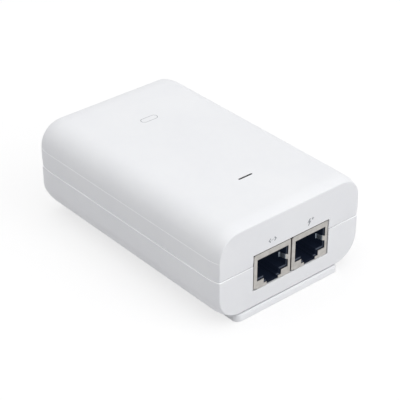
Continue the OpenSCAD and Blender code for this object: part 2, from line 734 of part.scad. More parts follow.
module circuit_board() {
    color("seagreen") difference() {
        centred_box(board_w, board_l, board_t, -board_l / 2, board_z0);
        for (x = [-1, 1], y = [-1, 1]) translate([x * post_x, y * post_y, board_z0 - 1])
            cylinder(d = post_pin_d + 2 * hole_gap, h = board_t + 2);
        for (i = [0, 1]) at_jack(i) {
            shield_legs(hole_gap);
            centred_box(7 * wire_pitch + wire_t + 2 * hole_gap, wire_t + 2 * hole_gap, 3 * board_t,
                wire_y1 - wire_t - hole_gap, -2 * board_t);
        }
        for (n = [-1:1]) inlet_pin(n, hole_gap);
        leads(concat(fuse_leads, varistor_leads, thermistor_leads, x_cap_leads, y_cap_leads), hole_gap);
        leads(concat(bulk_leads, inductor_leads, bridge_leads, output_cap_leads), hole_gap);
        leads(concat(choke_leads, bobbin_pins, opto_leads), hole_gap);
        leads(concat(transistor_leads, sink_pins), hole_gap);
    }
}

module insulation_sheet() {
    w = 2 * (post_x - post_d / 2 - 1);
    color("ivory") centred_box(w, board_l - 4, sheet_t, -board_l / 2 + 2, pad_z1);
}

// ---------- power parts ----------

module fuse() {
    cap_l = fuse_l / 4;
    color("tan") union() {
        translate([fuse_at.x, fuse_at.y, board_z1 + fuse_d / 2]) rotate([90, 0, 0]) {
            cylinder(d = fuse_d - 0.4, h = fuse_l - 1, center = true);
            for (end = [-1, 1]) translate([0, 0, end * (fuse_l - cap_l) / 2])
                cylinder(d = fuse_d, h = cap_l, center = true);
        }
        leads(fuse_leads, 0);
    }
}

// A round disc that stands on its edge, as thick as t, with its axis along y.
module standing_disc(at, d, t) {
    translate([at.x, at.y, board_z1 + 0.5 + d / 2]) rotate([90, 0, 0])
        cylinder(d = d, h = t, center = true);
    translate([at.x, at.y, 0]) centred_box(d * 0.75, t * 0.6, d / 2, -t * 0.3, board_z1 + 0.3);
}

module surge_varistor() {
    color("royalblue") union() {
        standing_disc(varistor_at, varistor_d, varistor_t);
        leads(varistor_leads, 0);
    }
}

module inrush_thermistor() {
    color("darkolivegreen") union() {
        standing_disc(thermistor_at, thermistor_d, thermistor_t);
        leads(thermistor_leads, 0);
    }
}

module y_capacitor() {
    color("steelblue") union() {
        translate([y_cap_at.x, y_cap_at.y, 0]) rotate([0, 0, 90])
            standing_disc([0, 0], y_cap_d, y_cap_t);
        leads(y_cap_leads, 0);
    }
}

module x_capacitor() {
    color("gold") union() {
        translate([x_cap_at.x, x_cap_at.y, 0])
            centred_box(x_cap_w, x_cap_l, x_cap_h, -x_cap_l / 2, board_z1);
        leads(x_cap_leads, 0);
    }
}

choke_z = board_z1 + choke_d / 2 + choke_wire + 0.1;

module choke_core() {
    color("darkgreen") translate([choke_at.x, choke_at.y, choke_z]) rotate([90, 0, 0]) difference() {
        cylinder(d = choke_d, h = choke_t, center = true);
        cylinder(d = choke_d - 2 * choke_wall, h = choke_t + 1, center = true);
    }
}

module choke_windings() {
    fit = 0.05;
    r0 = choke_d / 2 - choke_wall;
    h = choke_t + 2 * choke_wire;
    color("peru") for (side = [0, 1]) union() {
        translate([choke_at.x, choke_at.y, choke_z]) rotate([90, 180 * side, 0]) rotate([0, 0, -50])
            rotate_extrude(angle = 100) difference() {
                translate([r0 - choke_wire, -h / 2]) square([choke_wall + 2 * choke_wire, h]);
                translate([r0 - fit, -choke_t / 2 - fit])
                    square([choke_wall + 2 * fit, choke_t + 2 * fit]);
            }
        for (p = [choke_leads[2 - 2 * side], choke_leads[3 - 2 * side]])
            translate([p.x, p.y, lead_z]) cylinder(d = lead_d, h = choke_z - 3 - lead_z);
    }
}

module bridge_rectifier() {
    color("#222222") union() {
        translate([bridge_at.x, bridge_at.y, 0])
            centred_box(bridge_w, bridge_t, bridge_h, -bridge_t / 2, board_z1 + 0.4);
        leads(bridge_leads, 0);
    }
}

// A can that stands on the board, with a groove near its foot.
module round_can(at, d, h) {
    translate([at.x, at.y, board_z1]) rotate_extrude() polygon([
        [0, 0], [d / 2, 0], [d / 2, 1.6], [d / 2 - 0.5, 2.1], [d / 2, 2.6],
        [d / 2, h - 0.5], [d / 2 - 0.5, h], [0, h]]);
}

module bulk_capacitor() {
    color("#1d2a4a") union() {
        round_can(bulk_at, bulk_d, bulk_h);
        leads(bulk_leads, 0);
    }
}

module output_capacitors() {
    color("#23252b") for (i = [0, 1]) union() {
        round_can(output_cap_at[i], output_cap_d, output_cap_h);
        leads([output_cap_leads[2 * i], output_cap_leads[2 * i + 1]], 0);
    }
}

module output_inductor() {
    color("dimgray") union() {
        translate([inductor_at.x, inductor_at.y, board_z1]) {
            cylinder(d = inductor_d, h = 1.5);
            cylinder(d = inductor_d - 1, h = 9);
            translate([0, 0, 8]) cylinder(d = inductor_d, h = 1.5);
        }
        leads(inductor_leads, 0);
    }
}

// ---------- transformer ----------

core_z0 = board_z1 + 1.5;
coil_h = core_h - 2 * core_leg - 2 * coil_fit;

module transformer_core() {
    window_w = (core_w - core_mid) / 2 - core_leg;
    color("#3a3a3c") translate([transformer_at.x, transformer_at.y, core_z0]) difference() {
        centred_box(core_w, core_t, core_h, -core_t / 2, 0);
        for (side = [-1, 1]) translate([side * (core_mid + window_w) / 2, 0, 0])
            centred_box(window_w, core_t + 1, core_h - 2 * core_leg, -core_t / 2 - 0.5, core_leg);
    }
}

// A box with a hole round the core's middle leg, grown by in and by out.
module coil_ring(hole, x, y, z, h) {
    difference() {
        centred_box(2 * x, 2 * y, h, -y, z);
        centred_box(core_mid + 2 * hole, core_t + 2 * hole, h + 2, -core_t / 2 - hole, z - 1);
    }
}

module transformer_bobbin() {
    z0 = core_leg + coil_fit;
    rail_y = coil_y - 1.2;
    color("#17181a") union() {
        translate([transformer_at.x, transformer_at.y, core_z0]) {
            coil_ring(coil_fit, core_mid / 2 + coil_fit + bobbin_t,
                core_t / 2 + coil_fit + bobbin_t, z0, coil_h);
            for (z = [z0, z0 + coil_h - bobbin_t]) coil_ring(coil_fit, coil_x, coil_y, z, bobbin_t);
            for (side = [-1, 1]) translate([0, side * rail_y, 0])
                centred_box(2 * coil_x, 2.4, z0 + bobbin_t + core_z0 - board_z1, -1.2, board_z1 - core_z0);
        }
        leads(bobbin_pins, 0);
    }
}

module transformer_winding() {
    fit = 0.05;
    z0 = core_leg + coil_fit + bobbin_t + fit;
    color("khaki") translate([transformer_at.x, transformer_at.y, core_z0])
        coil_ring(coil_fit + bobbin_t + fit, coil_x - 0.2, coil_y - 0.2, z0,
            coil_h - 2 * bobbin_t - 2 * fit);
}

// ---------- heatsinks and what they cool ----------

// Places a heatsink's pieces, made for the right side, on the left (0) or on the right (1).
module at_sink(s) {
    translate([0, sink_ys[s], 0]) mirror([s == 0 ? 1 : 0, 0, 0]) children();
}

// A hole or a shank along x at the height of the heatsink screws.
module screw_bar(d, x0, x1) {
    translate([x0, 0, screw_z]) rotate([0, 90, 0]) cylinder(d = d, h = x1 - x0);
}

module heatsink(s) {
    color("lightgray") union() {
        at_sink(s) difference() {
            translate([sink_x - sink_t / 2, -sink_l / 2, board_z1]) cube([sink_t, sink_l, sink_h]);
            screw_bar(screw_d + 0.1, sink_x - sink_t, sink_x + sink_t);
        }
        leads([sink_pins[2 * s], sink_pins[2 * s + 1]], 0);
    }
}

// A flat power device: a metal tab with a hole above a plastic body, and three leads.
module power_device(s) {
    back_x = sink_x - sink_t / 2 - pad_t;
    color("#2b2b2d") union() {
        at_sink(s) difference() {
            union() {
                translate([back_x - tab_t, -device_w / 2, board_z1 + device_rise])
                    cube([tab_t, device_w, device_h + tab_h]);
                translate([back_x - device_t, -device_w / 2, board_z1 + device_rise])
                    cube([device_t, device_w, device_h]);
            }
            screw_bar(screw_d + 0.1, back_x - 2 * tab_t, back_x + 1);
        }
        for (n = [0:2]) translate([transistor_leads[3 * s + n].x, transistor_leads[3 * s + n].y, lead_z])
            cylinder(d = lead_d, h = board_z1 + device_rise + 1 - lead_z);
    }
}

module transistor_pads() {
    w = device_w + 2 * pad_edge;
    h = min(device_h + tab_h + pad_edge, sink_h - device_rise) + pad_edge;
    color("lightpink") for (s = [0, 1]) at_sink(s) difference() {
        translate([sink_x - sink_t / 2 - pad_t, -w / 2, board_z1 + device_rise - pad_edge])
            cube([pad_t, w, h]);
        screw_bar(screw_d + 0.1, sink_x - sink_t / 2 - 2 * pad_t, sink_x);
    }
}

module heatsink_screws() {
    seat_x = sink_x - sink_t / 2 - pad_t - tab_t;
    color("silver") for (s = [0, 1]) at_sink(s) union() {
        screw_bar(screw_d, seat_x - eps, sink_x + sink_t / 2 + 0.6);
        screw_bar(5.4, seat_x - 1.8, seat_x);
    }
}

module primary_heatsink() { heatsink(0); }
module secondary_heatsink() { heatsink(1); }
module switching_transistor() { power_device(0); }
module output_rectifier() { power_device(1); }

// ---------- small parts ----------

// A moulded chip with its rows of feet along two sides.
module chip(at, w, l, h, feet) {
    pitch = 1.27;
    translate([at.x, at.y, board_z1]) {
        centred_box(w, l, h, -l / 2, 0.1);
        for (n = [0:feet - 1])
            translate([0, (n - (feet - 1) / 2) * pitch, 0])
                centred_box(w + 2 * foot_l, 0.4, 0.3, -0.2, 0);
    }
}

module optocoupler() {
    color("#ececec") union() {
        translate([opto_at.x, opto_at.y, 0])
            centred_box(opto_w, opto_l, 3.4, -opto_l / 2, board_z1 + 0.2);
        for (p = opto_leads) translate([p.x, p.y, lead_z])
            cylinder(d = lead_d, h = board_z1 + 2 - lead_z);
    }
}

module controller_chip() { color("#1c1c1e") chip(controller_at, chip_w, chip_l, chip_h, 4); }
module power_chip() { color("#1c1c1e") chip(power_chip_at, chip_w, chip_l, chip_h, 4); }
module line_magnetics() {
    color("#141416") chip(magnetics_at, magnetics_w, magnetics_l, magnetics_h, 5);
}

module chip_parts() {
    color("burlywood") for (x = [-0.5, 0.5], y = [-1:1])
        translate([small_at.x + x * small_step, small_at.y + y * small_step, board_z1])
            centred_box(small_w, small_l, small_h, -small_l / 2, 0);
}

top_cover();
bottom_cover();
wall_bracket();
light_pipe();
jack_shield_left();
jack_shield_right();
jack_housing_left();
jack_housing_right();
jack_carrier_left();
jack_carrier_right();
jack_wires_left();
jack_wires_right();
jack_springs_left();
jack_springs_right();
inlet_housing();
inlet_line_pin();
inlet_neutral_pin();
inlet_earth_pin();
circuit_board();
insulation_sheet();
fuse();
surge_varistor();
inrush_thermistor();
x_capacitor();
choke_core();
choke_windings();
bridge_rectifier();
bulk_capacitor();
primary_heatsink();
switching_transistor();
transformer_core();
transformer_bobbin();
transformer_winding();
y_capacitor();
optocoupler();
controller_chip();
secondary_heatsink();
output_rectifier();
transistor_pads();
heatsink_screws();
output_capacitors();
output_inductor();
line_magnetics();
power_chip();
status_led();
chip_parts();
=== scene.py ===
"""Looks of a wall-mounted PoE injector: the dressed pieces, their finishes, the light and the camera.

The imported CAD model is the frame. Sizes are in millimetres in the row frame (x right as seen from
the sockets, y from the sockets to the mains inlet, z up) and become metres when a mesh is made.
"""

import json
import logging
import math
from dataclasses import dataclass, field
from enum import Enum, IntEnum
from itertools import product
from typing import Any, Callable, Mapping, Sequence

import bmesh
import bpy
import numpy as np
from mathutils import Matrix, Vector


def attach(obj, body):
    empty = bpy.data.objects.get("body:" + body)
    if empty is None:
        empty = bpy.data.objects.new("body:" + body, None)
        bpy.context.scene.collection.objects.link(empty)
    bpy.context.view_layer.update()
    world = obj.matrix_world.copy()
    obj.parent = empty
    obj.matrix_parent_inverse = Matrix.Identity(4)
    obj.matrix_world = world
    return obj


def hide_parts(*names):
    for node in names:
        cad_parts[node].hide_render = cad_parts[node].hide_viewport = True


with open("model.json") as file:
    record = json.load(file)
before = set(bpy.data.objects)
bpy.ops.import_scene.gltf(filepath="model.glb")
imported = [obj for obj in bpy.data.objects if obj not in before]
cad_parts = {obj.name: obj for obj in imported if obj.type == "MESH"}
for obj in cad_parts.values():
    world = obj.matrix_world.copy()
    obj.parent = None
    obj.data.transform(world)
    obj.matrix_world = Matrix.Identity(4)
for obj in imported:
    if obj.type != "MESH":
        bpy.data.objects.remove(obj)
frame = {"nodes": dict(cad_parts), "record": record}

LOG = logging.getLogger("injector")
PAINTED_LIGHT_MARK = "painted_light"  # the attribute that says how strongly a face takes its painted highlight or painted shade
MM = 0.001  # metres in a millimetre
WELD = 2e-6  # metres; points that are closer become one
SHARP = 35.0  # degrees; edges that bend more stay sharp
PAST = 1.0  # mm by which a cutting solid stands past the face that it cuts
DIGITS = 6  # decimals of a mm that count when places are compared
TINY = 1e-12  # keeps a division from being by zero
USUAL = (0.3, 0.7)  # where most values of a noise texture lie
Points = np.ndarray  # its last axis holds coordinates in mm
Pair = tuple[float, float]


class Axis(IntEnum):
    """The frame's axes, as numbers of a coordinate."""

    X = 0
    Y = 1
    Z = 2


# ---------- numbers and colours ----------


def linear(srgb: str) -> tuple[float, float, float, float]:
    """Turns an sRGB hex colour into linear light.

    A value up to 0.04045 is divided by 12.92. A higher one has 0.055 added, is divided by 1.055 and
    raised to the power 2.4.

    Args:
        srgb: six hex digits, with or without a leading #.

    Returns:
        Red, green, blue and alpha, each 0 to 1.
    """
    digits = srgb.lstrip("#")
    parts = np.array([int(digits[i:i + 2], 16) / 255 for i in (0, 2, 4)])
    light = np.where(parts <= 0.04045, parts / 12.92, ((parts + 0.055) / 1.055) ** 2.4)
    return (*map(float, light), 1.0)


def per_metre(size_mm: float) -> float:
    """The scale of a texture whose features are size_mm wide, on coordinates in metres."""
    return 1.0 / (size_mm * MM)


# ---------- outlines in two dimensions ----------


def arc(centre: Pair, radius: float, start: float, end: float, steps: int) -> Points:
    """Points on a circle's arc: the centre plus the radius times the angle's cosine and sine.

    Args:
        centre: the circle's middle.
        radius: its radius.
        start: first angle in degrees.
        end: last angle in degrees.
        steps: number of segments.

    Returns:
        An array of steps + 1 points.
    """
    angle = np.radians(np.linspace(start, end, steps + 1))
    return np.array(centre) + radius * np.column_stack([np.cos(angle), np.sin(angle)])


def circle(centre: Pair, radius: float, steps: int) -> Points:
    """Points once round a circle, anticlockwise from the first coordinate's direction."""
    return arc(centre, radius, 0, 360 - 360 / steps, steps - 1)


def rounded_rectangle(width: float, length: float, radius: float, steps: int = 8,
                      centre: Pair = (0.0, 0.0)) -> Points:
    """A closed outline, anticlockwise, of a rectangle whose corners are arcs.

    Args:
        width: its size in the first coordinate.
        length: its size in the second one.
        radius: the corners' radius.
        steps: number of segments in each corner.
        centre: its middle.

    Returns:
        The outline's points, once round.
    """
    x, y = width / 2 - radius, length / 2 - radius
    corners = [((x, -y), -90), ((x, y), 0), ((-x, y), 90), ((-x, -y), 180)]
    return np.array(centre) + np.vstack([arc(c, radius, a, a + 90, steps) for c, a in corners])


def mirrored(right: Points) -> Points:
    """A closed outline from its right half, from the bottom up, and that half's mirror image."""
    return np.vstack([right, right[::-1] * [-1, 1]])


def right_normals(edges: Points) -> Points:
    """The unit normals on the right-hand side of edges."""
    return np.column_stack([edges[:, 1], -edges[:, 0]]) / np.linalg.norm(edges, axis=1)[:, None]


def corner_shifts(before: Points, after: Points) -> Points:
    """How corners move when the edges before and after them move by 1 along their unit normals.

    A corner moves along the sum of the two normals, divided by that sum's part along the first one.
    """
    shift = before + after
    return shift / np.sum(shift * before, axis=1)[:, None]


def stroke(line: Sequence[Pair], width: float) -> Points:
    """The closed outline of an open line drawn with a square pen.

    Args:
        line: the line's points.
        width: the pen's width.

    Returns:
        The outline's points, once round.
    """
    points = np.array(line, float)
    normal = right_normals(np.diff(points, axis=0))
    shift = corner_shifts(np.vstack([normal[:1], normal]), np.vstack([normal, normal[-1:]])) * width / 2
    return np.vstack([points - shift, (points + shift)[::-1]])


def grown(outline: Points, distance: float) -> Points:
    """A closed anticlockwise outline moved outwards by a distance.

    Args:
        outline: its points, once round.
        distance: how far each edge moves.

    Returns:
        The moved points.
    """
    after = right_normals(np.roll(outline, -1, axis=0) - outline)
    return outline + corner_shifts(np.roll(after, 1, axis=0), after) * distance


def in_space(outline: Points, at: float | np.ndarray, axis: Axis = Axis.Z) -> Points:
    """Gives the points of plane outlines their third coordinate.

    Args:
        outline: points in the two other axes, in their order x, y, z.
        at: the coordinate on the axis, one for all or one for each.
        axis: the axis that the outlines' plane is square to.

    Returns:
        The points in space.
    """
    parts = [outline[..., 0], outline[..., 1]]
    parts.insert(axis, at)
    return np.stack(np.broadcast_arrays(*parts), axis=-1)


# ---------- meshes ----------


class Surface:
    """Gathers numpy grids and outlines into one closed mesh."""

    def __init__(self) -> None:
        """Starts with no points."""
        self._points: list[Points] = []
        self._faces: list[Sequence[int]] = []
        self._count = 0

    def _keep(self, points: Points) -> np.ndarray:
        """Stores points.

        Args:
            points: the points, in any layout.

        Returns:
            Their numbers, in the same layout.
        """
        flat = points.reshape(-1, 3)
        numbers = np.arange(self._count, self._count + len(flat)).reshape(points.shape[:-1])
        self._points.append(flat)
        self._count += len(flat)
        return numbers

    def grid(self, points: Points, closed: bool = False) -> "Surface":
        """Adds a grid of rows and columns of points as quads.

        Args:
            points: an array of rows, columns and coordinates.
            closed: whether the last column joins the first.

        Returns:
            The surface itself.
        """
        n = self._keep(points)
        if closed:
            n = np.hstack([n, n[:, :1]])
        quads = np.stack([n[:-1, :-1], n[:-1, 1:], n[1:, 1:], n[1:, :-1]], axis=-1)
        self._faces.extend(quads.reshape(-1, 4).tolist())
        return self

    def cap(self, loop: Points) -> "Surface":
        """Adds one flat face with the given outline."""
        self._faces.append(self._keep(loop).tolist())
        return self

    def loft(self, rows: Sequence[Points]) -> "Surface":
        """Adds closed rows of points as a skin, with a flat face at each end."""
        return self.grid(np.stack(rows), closed=True).cap(rows[0]).cap(rows[-1])

    def prism(self, outline: Points, low: float, high: float, axis: Axis = Axis.Z) -> "Surface":
        """Adds a straight solid of that outline between two places on an axis.

        Args:
            outline: points in the two other axes, in their order x, y, z.
            low: where the solid starts on the axis.
            high: where it ends.
            axis: the axis.

        Returns:
            The surface itself.
        """
        return self.loft([in_space(outline, at, axis) for at in (low, high)])

    def box(self, low: Sequence[float], high: Sequence[float]) -> "Surface":
        """Adds a box between two opposite corners."""
        (x0, y0, z0), (x1, y1, z1) = low, high
        return self.prism(np.array([[x0, y0], [x1, y0], [x1, y1], [x0, y1]]), z0, z1)

    def lathe(self, centre: Pair, profile: Sequence[Pair], steps: int = 48) -> "Surface":
        """Adds a solid turned about an upright axis.

        A point is the centre plus its radius times the angle's cosine and sine, at its height.

        Args:
            centre: the axis in x and y.
            profile: pairs of radius and height, from the bottom up.
            steps: number of segments round it.

        Returns:
            The surface itself.
        """
        angle = np.linspace(0, 2 * np.pi, steps, endpoint=False)
        radius, height = np.array(profile, float).T[..., None]
        circles = np.stack([radius * np.cos(angle), radius * np.sin(angle)], axis=-1)
        return self.loft(in_space(circles + centre, height))

    def mesh(self, name: str) -> bpy.types.Mesh:
        """Welds what was added into one mesh in metres, with its faces outward.

        Args:
            name: the mesh's name.

        Returns:
            The mesh.
        """
        mesh = bpy.data.meshes.new(name)
        mesh.from_pydata((np.vstack(self._points) * MM).tolist(), [], self._faces)
        work = bmesh.new()
        work.from_mesh(mesh)
        bmesh.ops.remove_doubles(work, verts=work.verts, dist=WELD)
        bmesh.ops.recalc_face_normals(work, faces=work.faces)
        work.to_mesh(mesh)
        work.free()
        smooth(mesh)
        return mesh


def smooth(mesh: bpy.types.Mesh) -> None:
    """Shades a mesh smoothly, apart from its sharp edges."""
    mesh.shade_smooth()
    mesh.set_sharp_from_angle(angle=math.radians(SHARP))


def add_object(name: str, mesh: bpy.types.Mesh) -> bpy.types.Object:
    """Puts a mesh into the scene as an object at the origin.

    Args:
        name: the object's name.
        mesh: its mesh.

    Returns:
        The object.
    """
    made = bpy.data.objects.new(name, mesh)
    bpy.context.scene.collection.objects.link(made)
    return made


class Cut(Enum):
    """What a second solid does to the first."""

    AWAY = "DIFFERENCE"
    ADDED = "UNION"


def combine(mesh: bpy.types.Mesh, other: Surface, how: Cut) -> bpy.types.Mesh:
    """Cuts a solid out of a mesh, or adds it.

    Args:
        mesh: the mesh to start from, which is used up.
        other: the second solid, of closed shells that don't overlap one another.
        how: whether it is cut away or added.

    Returns:
        The new mesh.
    """
    name = mesh.name
    base, tool = add_object("base", mesh), add_object("tool", other.mesh("tool"))
    change = base.modifiers.new("combine", "BOOLEAN")
    change.operation, change.object, change.solver = how.value, tool, "EXACT"
    made = bpy.data.meshes.new_from_object(base.evaluated_get(bpy.context.evaluated_depsgraph_get()))
    for used in (base, tool):
        data = used.data
        bpy.data.objects.remove(used)
        bpy.data.meshes.remove(data)
    made.name = name
    smooth(made)
    return made


def mark_painted_light(mesh: bpy.types.Mesh, rule: Callable[[Points, Points], np.ndarray]) -> None:
    """Stores how strongly each face takes its painted highlight or painted shade, 0 to 1, for the finish to
    read.

    Args:
        mesh: the mesh.
        rule: from the faces' centres in mm and their normals to that share.
    """
    centres, normals = (np.empty(len(mesh.polygons) * 3) for _ in range(2))
    mesh.polygons.foreach_get("center", centres)
    mesh.polygons.foreach_get("normal", normals)
    share = rule(centres.reshape(-1, 3) / MM, normals.reshape(-1, 3))
    mesh.attributes.new(PAINTED_LIGHT_MARK, "FLOAT", "FACE").data.foreach_set("value", share.astype(float))


@dataclass(frozen=True)
class Piece:
    """One visible piece and what it stands for.

    Attributes:
        name: the object's name.
        mesh: its mesh.
        slot: the finish that it takes, named as the record's material slot where it has one.
        body: the body that it rides on.
        stands_for: the CAD nodes that it replaces.
        edge: width in mm of the small bevel on its sharp edges, or 0 for none.
        edge_steps: number of segments in that bevel.
        edge_angle: least bend in degrees of an edge that takes it.
    """

    name: str
    mesh: bpy.types.Mesh
    slot: str
    body: str = "injector"
    stands_for: tuple[str, ...] = ()
    edge: float = 0.0
    edge_steps: int = 2
    edge_angle: float = 40.0

    def place(self, finishes: Mapping[str, bpy.types.Material]) -> bpy.types.Object:
        """Makes the object, gives it its finish and hangs it on its body.

        Args:
            finishes: the materials by name.

        Returns:
            The object.
        """
        made = add_object(self.name, self.mesh)
        self.mesh.materials.clear()
        self.mesh.materials.append(finishes[self.slot])
        if self.edge:
            bevel = made.modifiers.new("edge", "BEVEL")
            bevel.width, bevel.segments = self.edge * MM, self.edge_steps
            bevel.limit_method, bevel.angle_limit = "ANGLE", math.radians(self.edge_angle)
        made.modifiers.new("even shading", "WEIGHTED_NORMAL").keep_sharp = True
        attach(made, self.body)
        if self.stands_for:
            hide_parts(*self.stands_for)
        return made


# ---------- the case ----------


@dataclass(frozen=True)
class Opening:
    """A rectangular hole in an end face: its sides, and its lower and upper edge."""

    left: float
    right: float
    low: float
    high: float

    @property
    def centre(self) -> float:
        """Its middle in x."""
        return (self.left + self.right) / 2

    def angles(self, points: Points) -> np.ndarray:
        """The angles from +x at which points, as x and distance from the seam, are seen from its centre."""
        return np.arctan2(points[:, 1], points[:, 0] - self.centre)

    def towards(self, points: Points, reach: float) -> Points:
        """Where rays from the centre towards points meet the rectangle, on one side of the seam.

        The ray's length is the shortest of the lengths at which it meets the side and the end.

        Args:
            points: what the rays go towards, as x and distance from the seam.
            reach: how far the opening goes from the seam.

        Returns:
            The places where they meet it, as x and distance from the seam.
        """
        angle = self.angles(points)
        cosine, sine = np.cos(angle), np.sin(angle)
        side = np.where(cosine > 0, self.right - self.centre, self.centre - self.left)
        with np.errstate(divide="ignore"):
            length = np.minimum(side / np.abs(cosine), reach / np.maximum(sine, TINY))
        return np.column_stack([self.centre + length * cosine, length * sine])

    def corners(self, reach: float) -> Points:
        """Its two corners, as x and distance from the seam, from right to left."""
        return np.array([[self.right, reach], [self.left, reach]])


@dataclass(frozen=True)
class Cover:
    """What differs between the two covers.

    Attributes:
        name: its name.
        side: 1 for the upper cover, -1 for the lower one.
        corner: radius of the section's corner.
        squareness: the superellipse's power; 2 is round.
        seam_edge: radius of the outer edge at the seam.
        seam_step: how far it is drawn in at the seam.
        shoulder_step: depth of the ledge where its shoulder starts.
    """

    name: str
    side: int
    corner: float
    squareness: float
    seam_edge: float
    seam_step: float = 0.0
    shoulder_step: float = 0.0


@dataclass(frozen=True)
class Columns:
    """Where the columns of a cover's grid stand in its section.

    Attributes:
        place: their x and distance from the seam.
        normal: the section's outward normals there.
        rise: the way along the section from the nearer seam.
        drop: how far the section is drawn in near the seam.
    """

    place: Points
    normal: Points
    rise: np.ndarray
    drop: np.ndarray


@dataclass(frozen=True)
class CaseShells:
    """The two covers of the case, which meet half-way up.

    A cover's cross-section is half a rectangle with full, slightly square corners. Towards each end
    the section is drawn in along its normals by an arc, and a small radius leads to the flat end face.
    The upper cover is drawn in a little at the seam and above the line where its shoulder starts, so
    that a fine ledge below each of them catches the light; these ledges also take a painted highlight.

    Attributes:
        width: the case's size in x.
        length: its size in y.
        height: its size in z.
        underside: how high its underside lies.
        upper: the upper cover.
        lower: the lower cover.
        wall: thickness of the walls.
        lead_length: length of the arc towards each end.
        front_inset: how far it draws the section in at the sockets' end.
        back_inset: the same at the inlet's end.
        end_edge: radius at the end faces.
        seam_gap: gap between the covers.
        rim_edge: chamfer round the openings.
        seam_fade: way over which the step at the seam runs out.
        shoulder_fade: the same for the shoulder's ledge.
        sockets: the opening for both sockets.
        inlet: the opening for the mains inlet.
        dense: number of points in a part of the dense section.
        edge_rows: rows of points on the radius at an end face.
        lead_rows: rows on the arc.
        middle_rows: rows between the arcs.
        seam_columns: columns near the seam, as shares of its edge's radius.
        side_columns: columns on the side, as ways from the seam.
        bend_start: way from the shoulder to the next column.
        bend_columns: columns round a corner.
        flat_columns: columns from a corner to the middle.
        plate_rows: rows on an end face, as shares of the way from the opening to the edge.
        lining_rows: the same inside.
        ledge_tilt: least and greatest upward normal of a face that takes the painted highlight.
        shoulder_tilt: the least one at the shoulder.
        shoulder_reach: how far in from the side the shoulder's ledge takes the painted highlight.
        front_depth: depth of what counts as the front face.
        front_highlight_fade: where in x its ledge's painted highlight grows, over which way, and its least
            share.
        seam_rise: least height above the seam, as a share of the way from it, and that height's most.
    """

    width: float = 63.0
    length: float = 95.0
    height: float = 33.4
    underside: float = 2.6
    upper: Cover = Cover("top_shell", 1, 9.7, 2.1, 0.1, 0.2, 0.07)
    lower: Cover = Cover("bottom_shell", -1, 10.05, 2.0, 0.2)
    wall: float = 2.2
    lead_length: float = 5.3
    front_inset: float = 1.05
    back_inset: float = 0.75
    end_edge: float = 0.45
    seam_gap: float = 0.05
    rim_edge: float = 0.06
    seam_fade: float = 3.4
    shoulder_fade: float = 5.0
    sockets: Opening = Opening(-16.28, 17.12, 9.62, 23.3)
    inlet: Opening = Opening(-13.75, 13.75, 9.75, 29.85)
    dense: int = 400
    edge_rows: int = 7
    lead_rows: int = 9
    middle_rows: int = 7
    seam_columns: tuple[float, ...] = (0, 0.2, 0.45, 0.7, 1.0)
    side_columns: tuple[float, ...] = (0.8, 1.7, 4.5)
    bend_start: float = 0.6
    bend_columns: int = 20
    flat_columns: int = 5
    plate_rows: tuple[float, ...] = (0.55, 0.12, 0)
    lining_rows: tuple[float, ...] = (0.7, 0.4, 0.15, 0)
    ledge_tilt: Pair = (0.1, 0.98)
    shoulder_tilt: float = 0.4
    shoulder_reach: float = 1.5
    front_depth: float = 0.4
    front_highlight_fade: tuple[float, float, float] = (15.0, 9.0, 0.3)
    seam_rise: Pair = (0.4, 0.02)

    @property
    def seam(self) -> float:
        """Height of the seam."""
        return self.underside + self.height / 2

    def _profile(self, lead_inset: float) -> Points:
        """The lengthwise profile of one end, from the flat face to the straight part.

        The lead-in is an arc whose radius follows from its length and inset. A fillet touches it
        and the end plane.

        Args:
            lead_inset: how far the lead-in draws the section in at the end plane.

        Returns:
            Rows of the inset, the distance from the end plane, and the normal's tilt towards the end.
        """
        radius = (self.lead_length ** 2 + lead_inset ** 2) / (2 * lead_inset)
        along = self.lead_length - self.end_edge
        inset = radius - math.sqrt((radius - self.end_edge) ** 2 - along ** 2)
        start = math.atan2(along, radius - inset)
        tilt = np.linspace(np.pi / 2, start, self.edge_rows)
        edge = (inset - self.end_edge * np.cos(tilt), self.end_edge * (1 - np.sin(tilt)), tilt)
        tilt = np.linspace(start, 0, self.lead_rows + 1)[1:]
        lead = (radius * (1 - np.cos(tilt)), self.lead_length - radius * np.sin(tilt), tilt)
        return np.vstack([np.column_stack(edge), np.column_stack(lead)])

    def _rows(self) -> tuple[np.ndarray, np.ndarray, np.ndarray]:
        """The rows of a cover's outside, from the sockets' end to the inlet's.

        Returns:
            Their insets, their places in y, and the tilt of their normals towards +y.
        """
        end = self.length / 2
        front, back = (self._profile(inset) for inset in (self.front_inset, self.back_inset))
        middle = np.zeros((self.middle_rows, 3))
        middle[:, 1] = np.linspace(-1, 1, self.middle_rows + 2)[1:-1] * (end - self.lead_length)
        front, back = front * [1, 1, -1] - [0, end, 0], back * [1, -1, 1] + [0, end, 0]
        return tuple(np.vstack([front, middle, back[::-1]]).T)

    def _section(self, cover: Cover) -> tuple[Points, Points, np.ndarray]:
        """Half of the section, densely: from the right seam over the far side to the left seam.

        The corners are superellipses, x = r cos^(2/n) and z = r sin^(2/n).

        Args:
            cover: which cover it is for.

        Returns:
            The points as x and distance from the seam, their outward normals, and arc length.
        """
        half, rise, radius = self.width / 2, self.height / 2, cover.corner
        turn = np.linspace(0, np.pi / 2, self.dense)
        power = 2 / cover.squareness
        curve = np.column_stack([half - radius + radius * np.cos(turn) ** power,
                                 rise - radius + radius * np.sin(turn) ** power])
        side = np.linspace(self.seam_gap / 2, rise - radius, self.dense // 2 + 1)[:-1]
        right = np.vstack([np.column_stack([np.full(len(side), half), side]), curve])
        across = np.linspace(right[-1, 0], -right[-1, 0], self.dense + 2)[1:-1]
        flat = np.column_stack([across, np.full(len(across), rise)])
        points = np.vstack([right, flat, right[::-1] * [-1, 1]])
        step = np.linalg.norm(np.diff(points, axis=0), axis=1)
        length = np.concatenate([[0], np.cumsum(step)])
        return points, right_normals(np.gradient(points, length, axis=0)), length

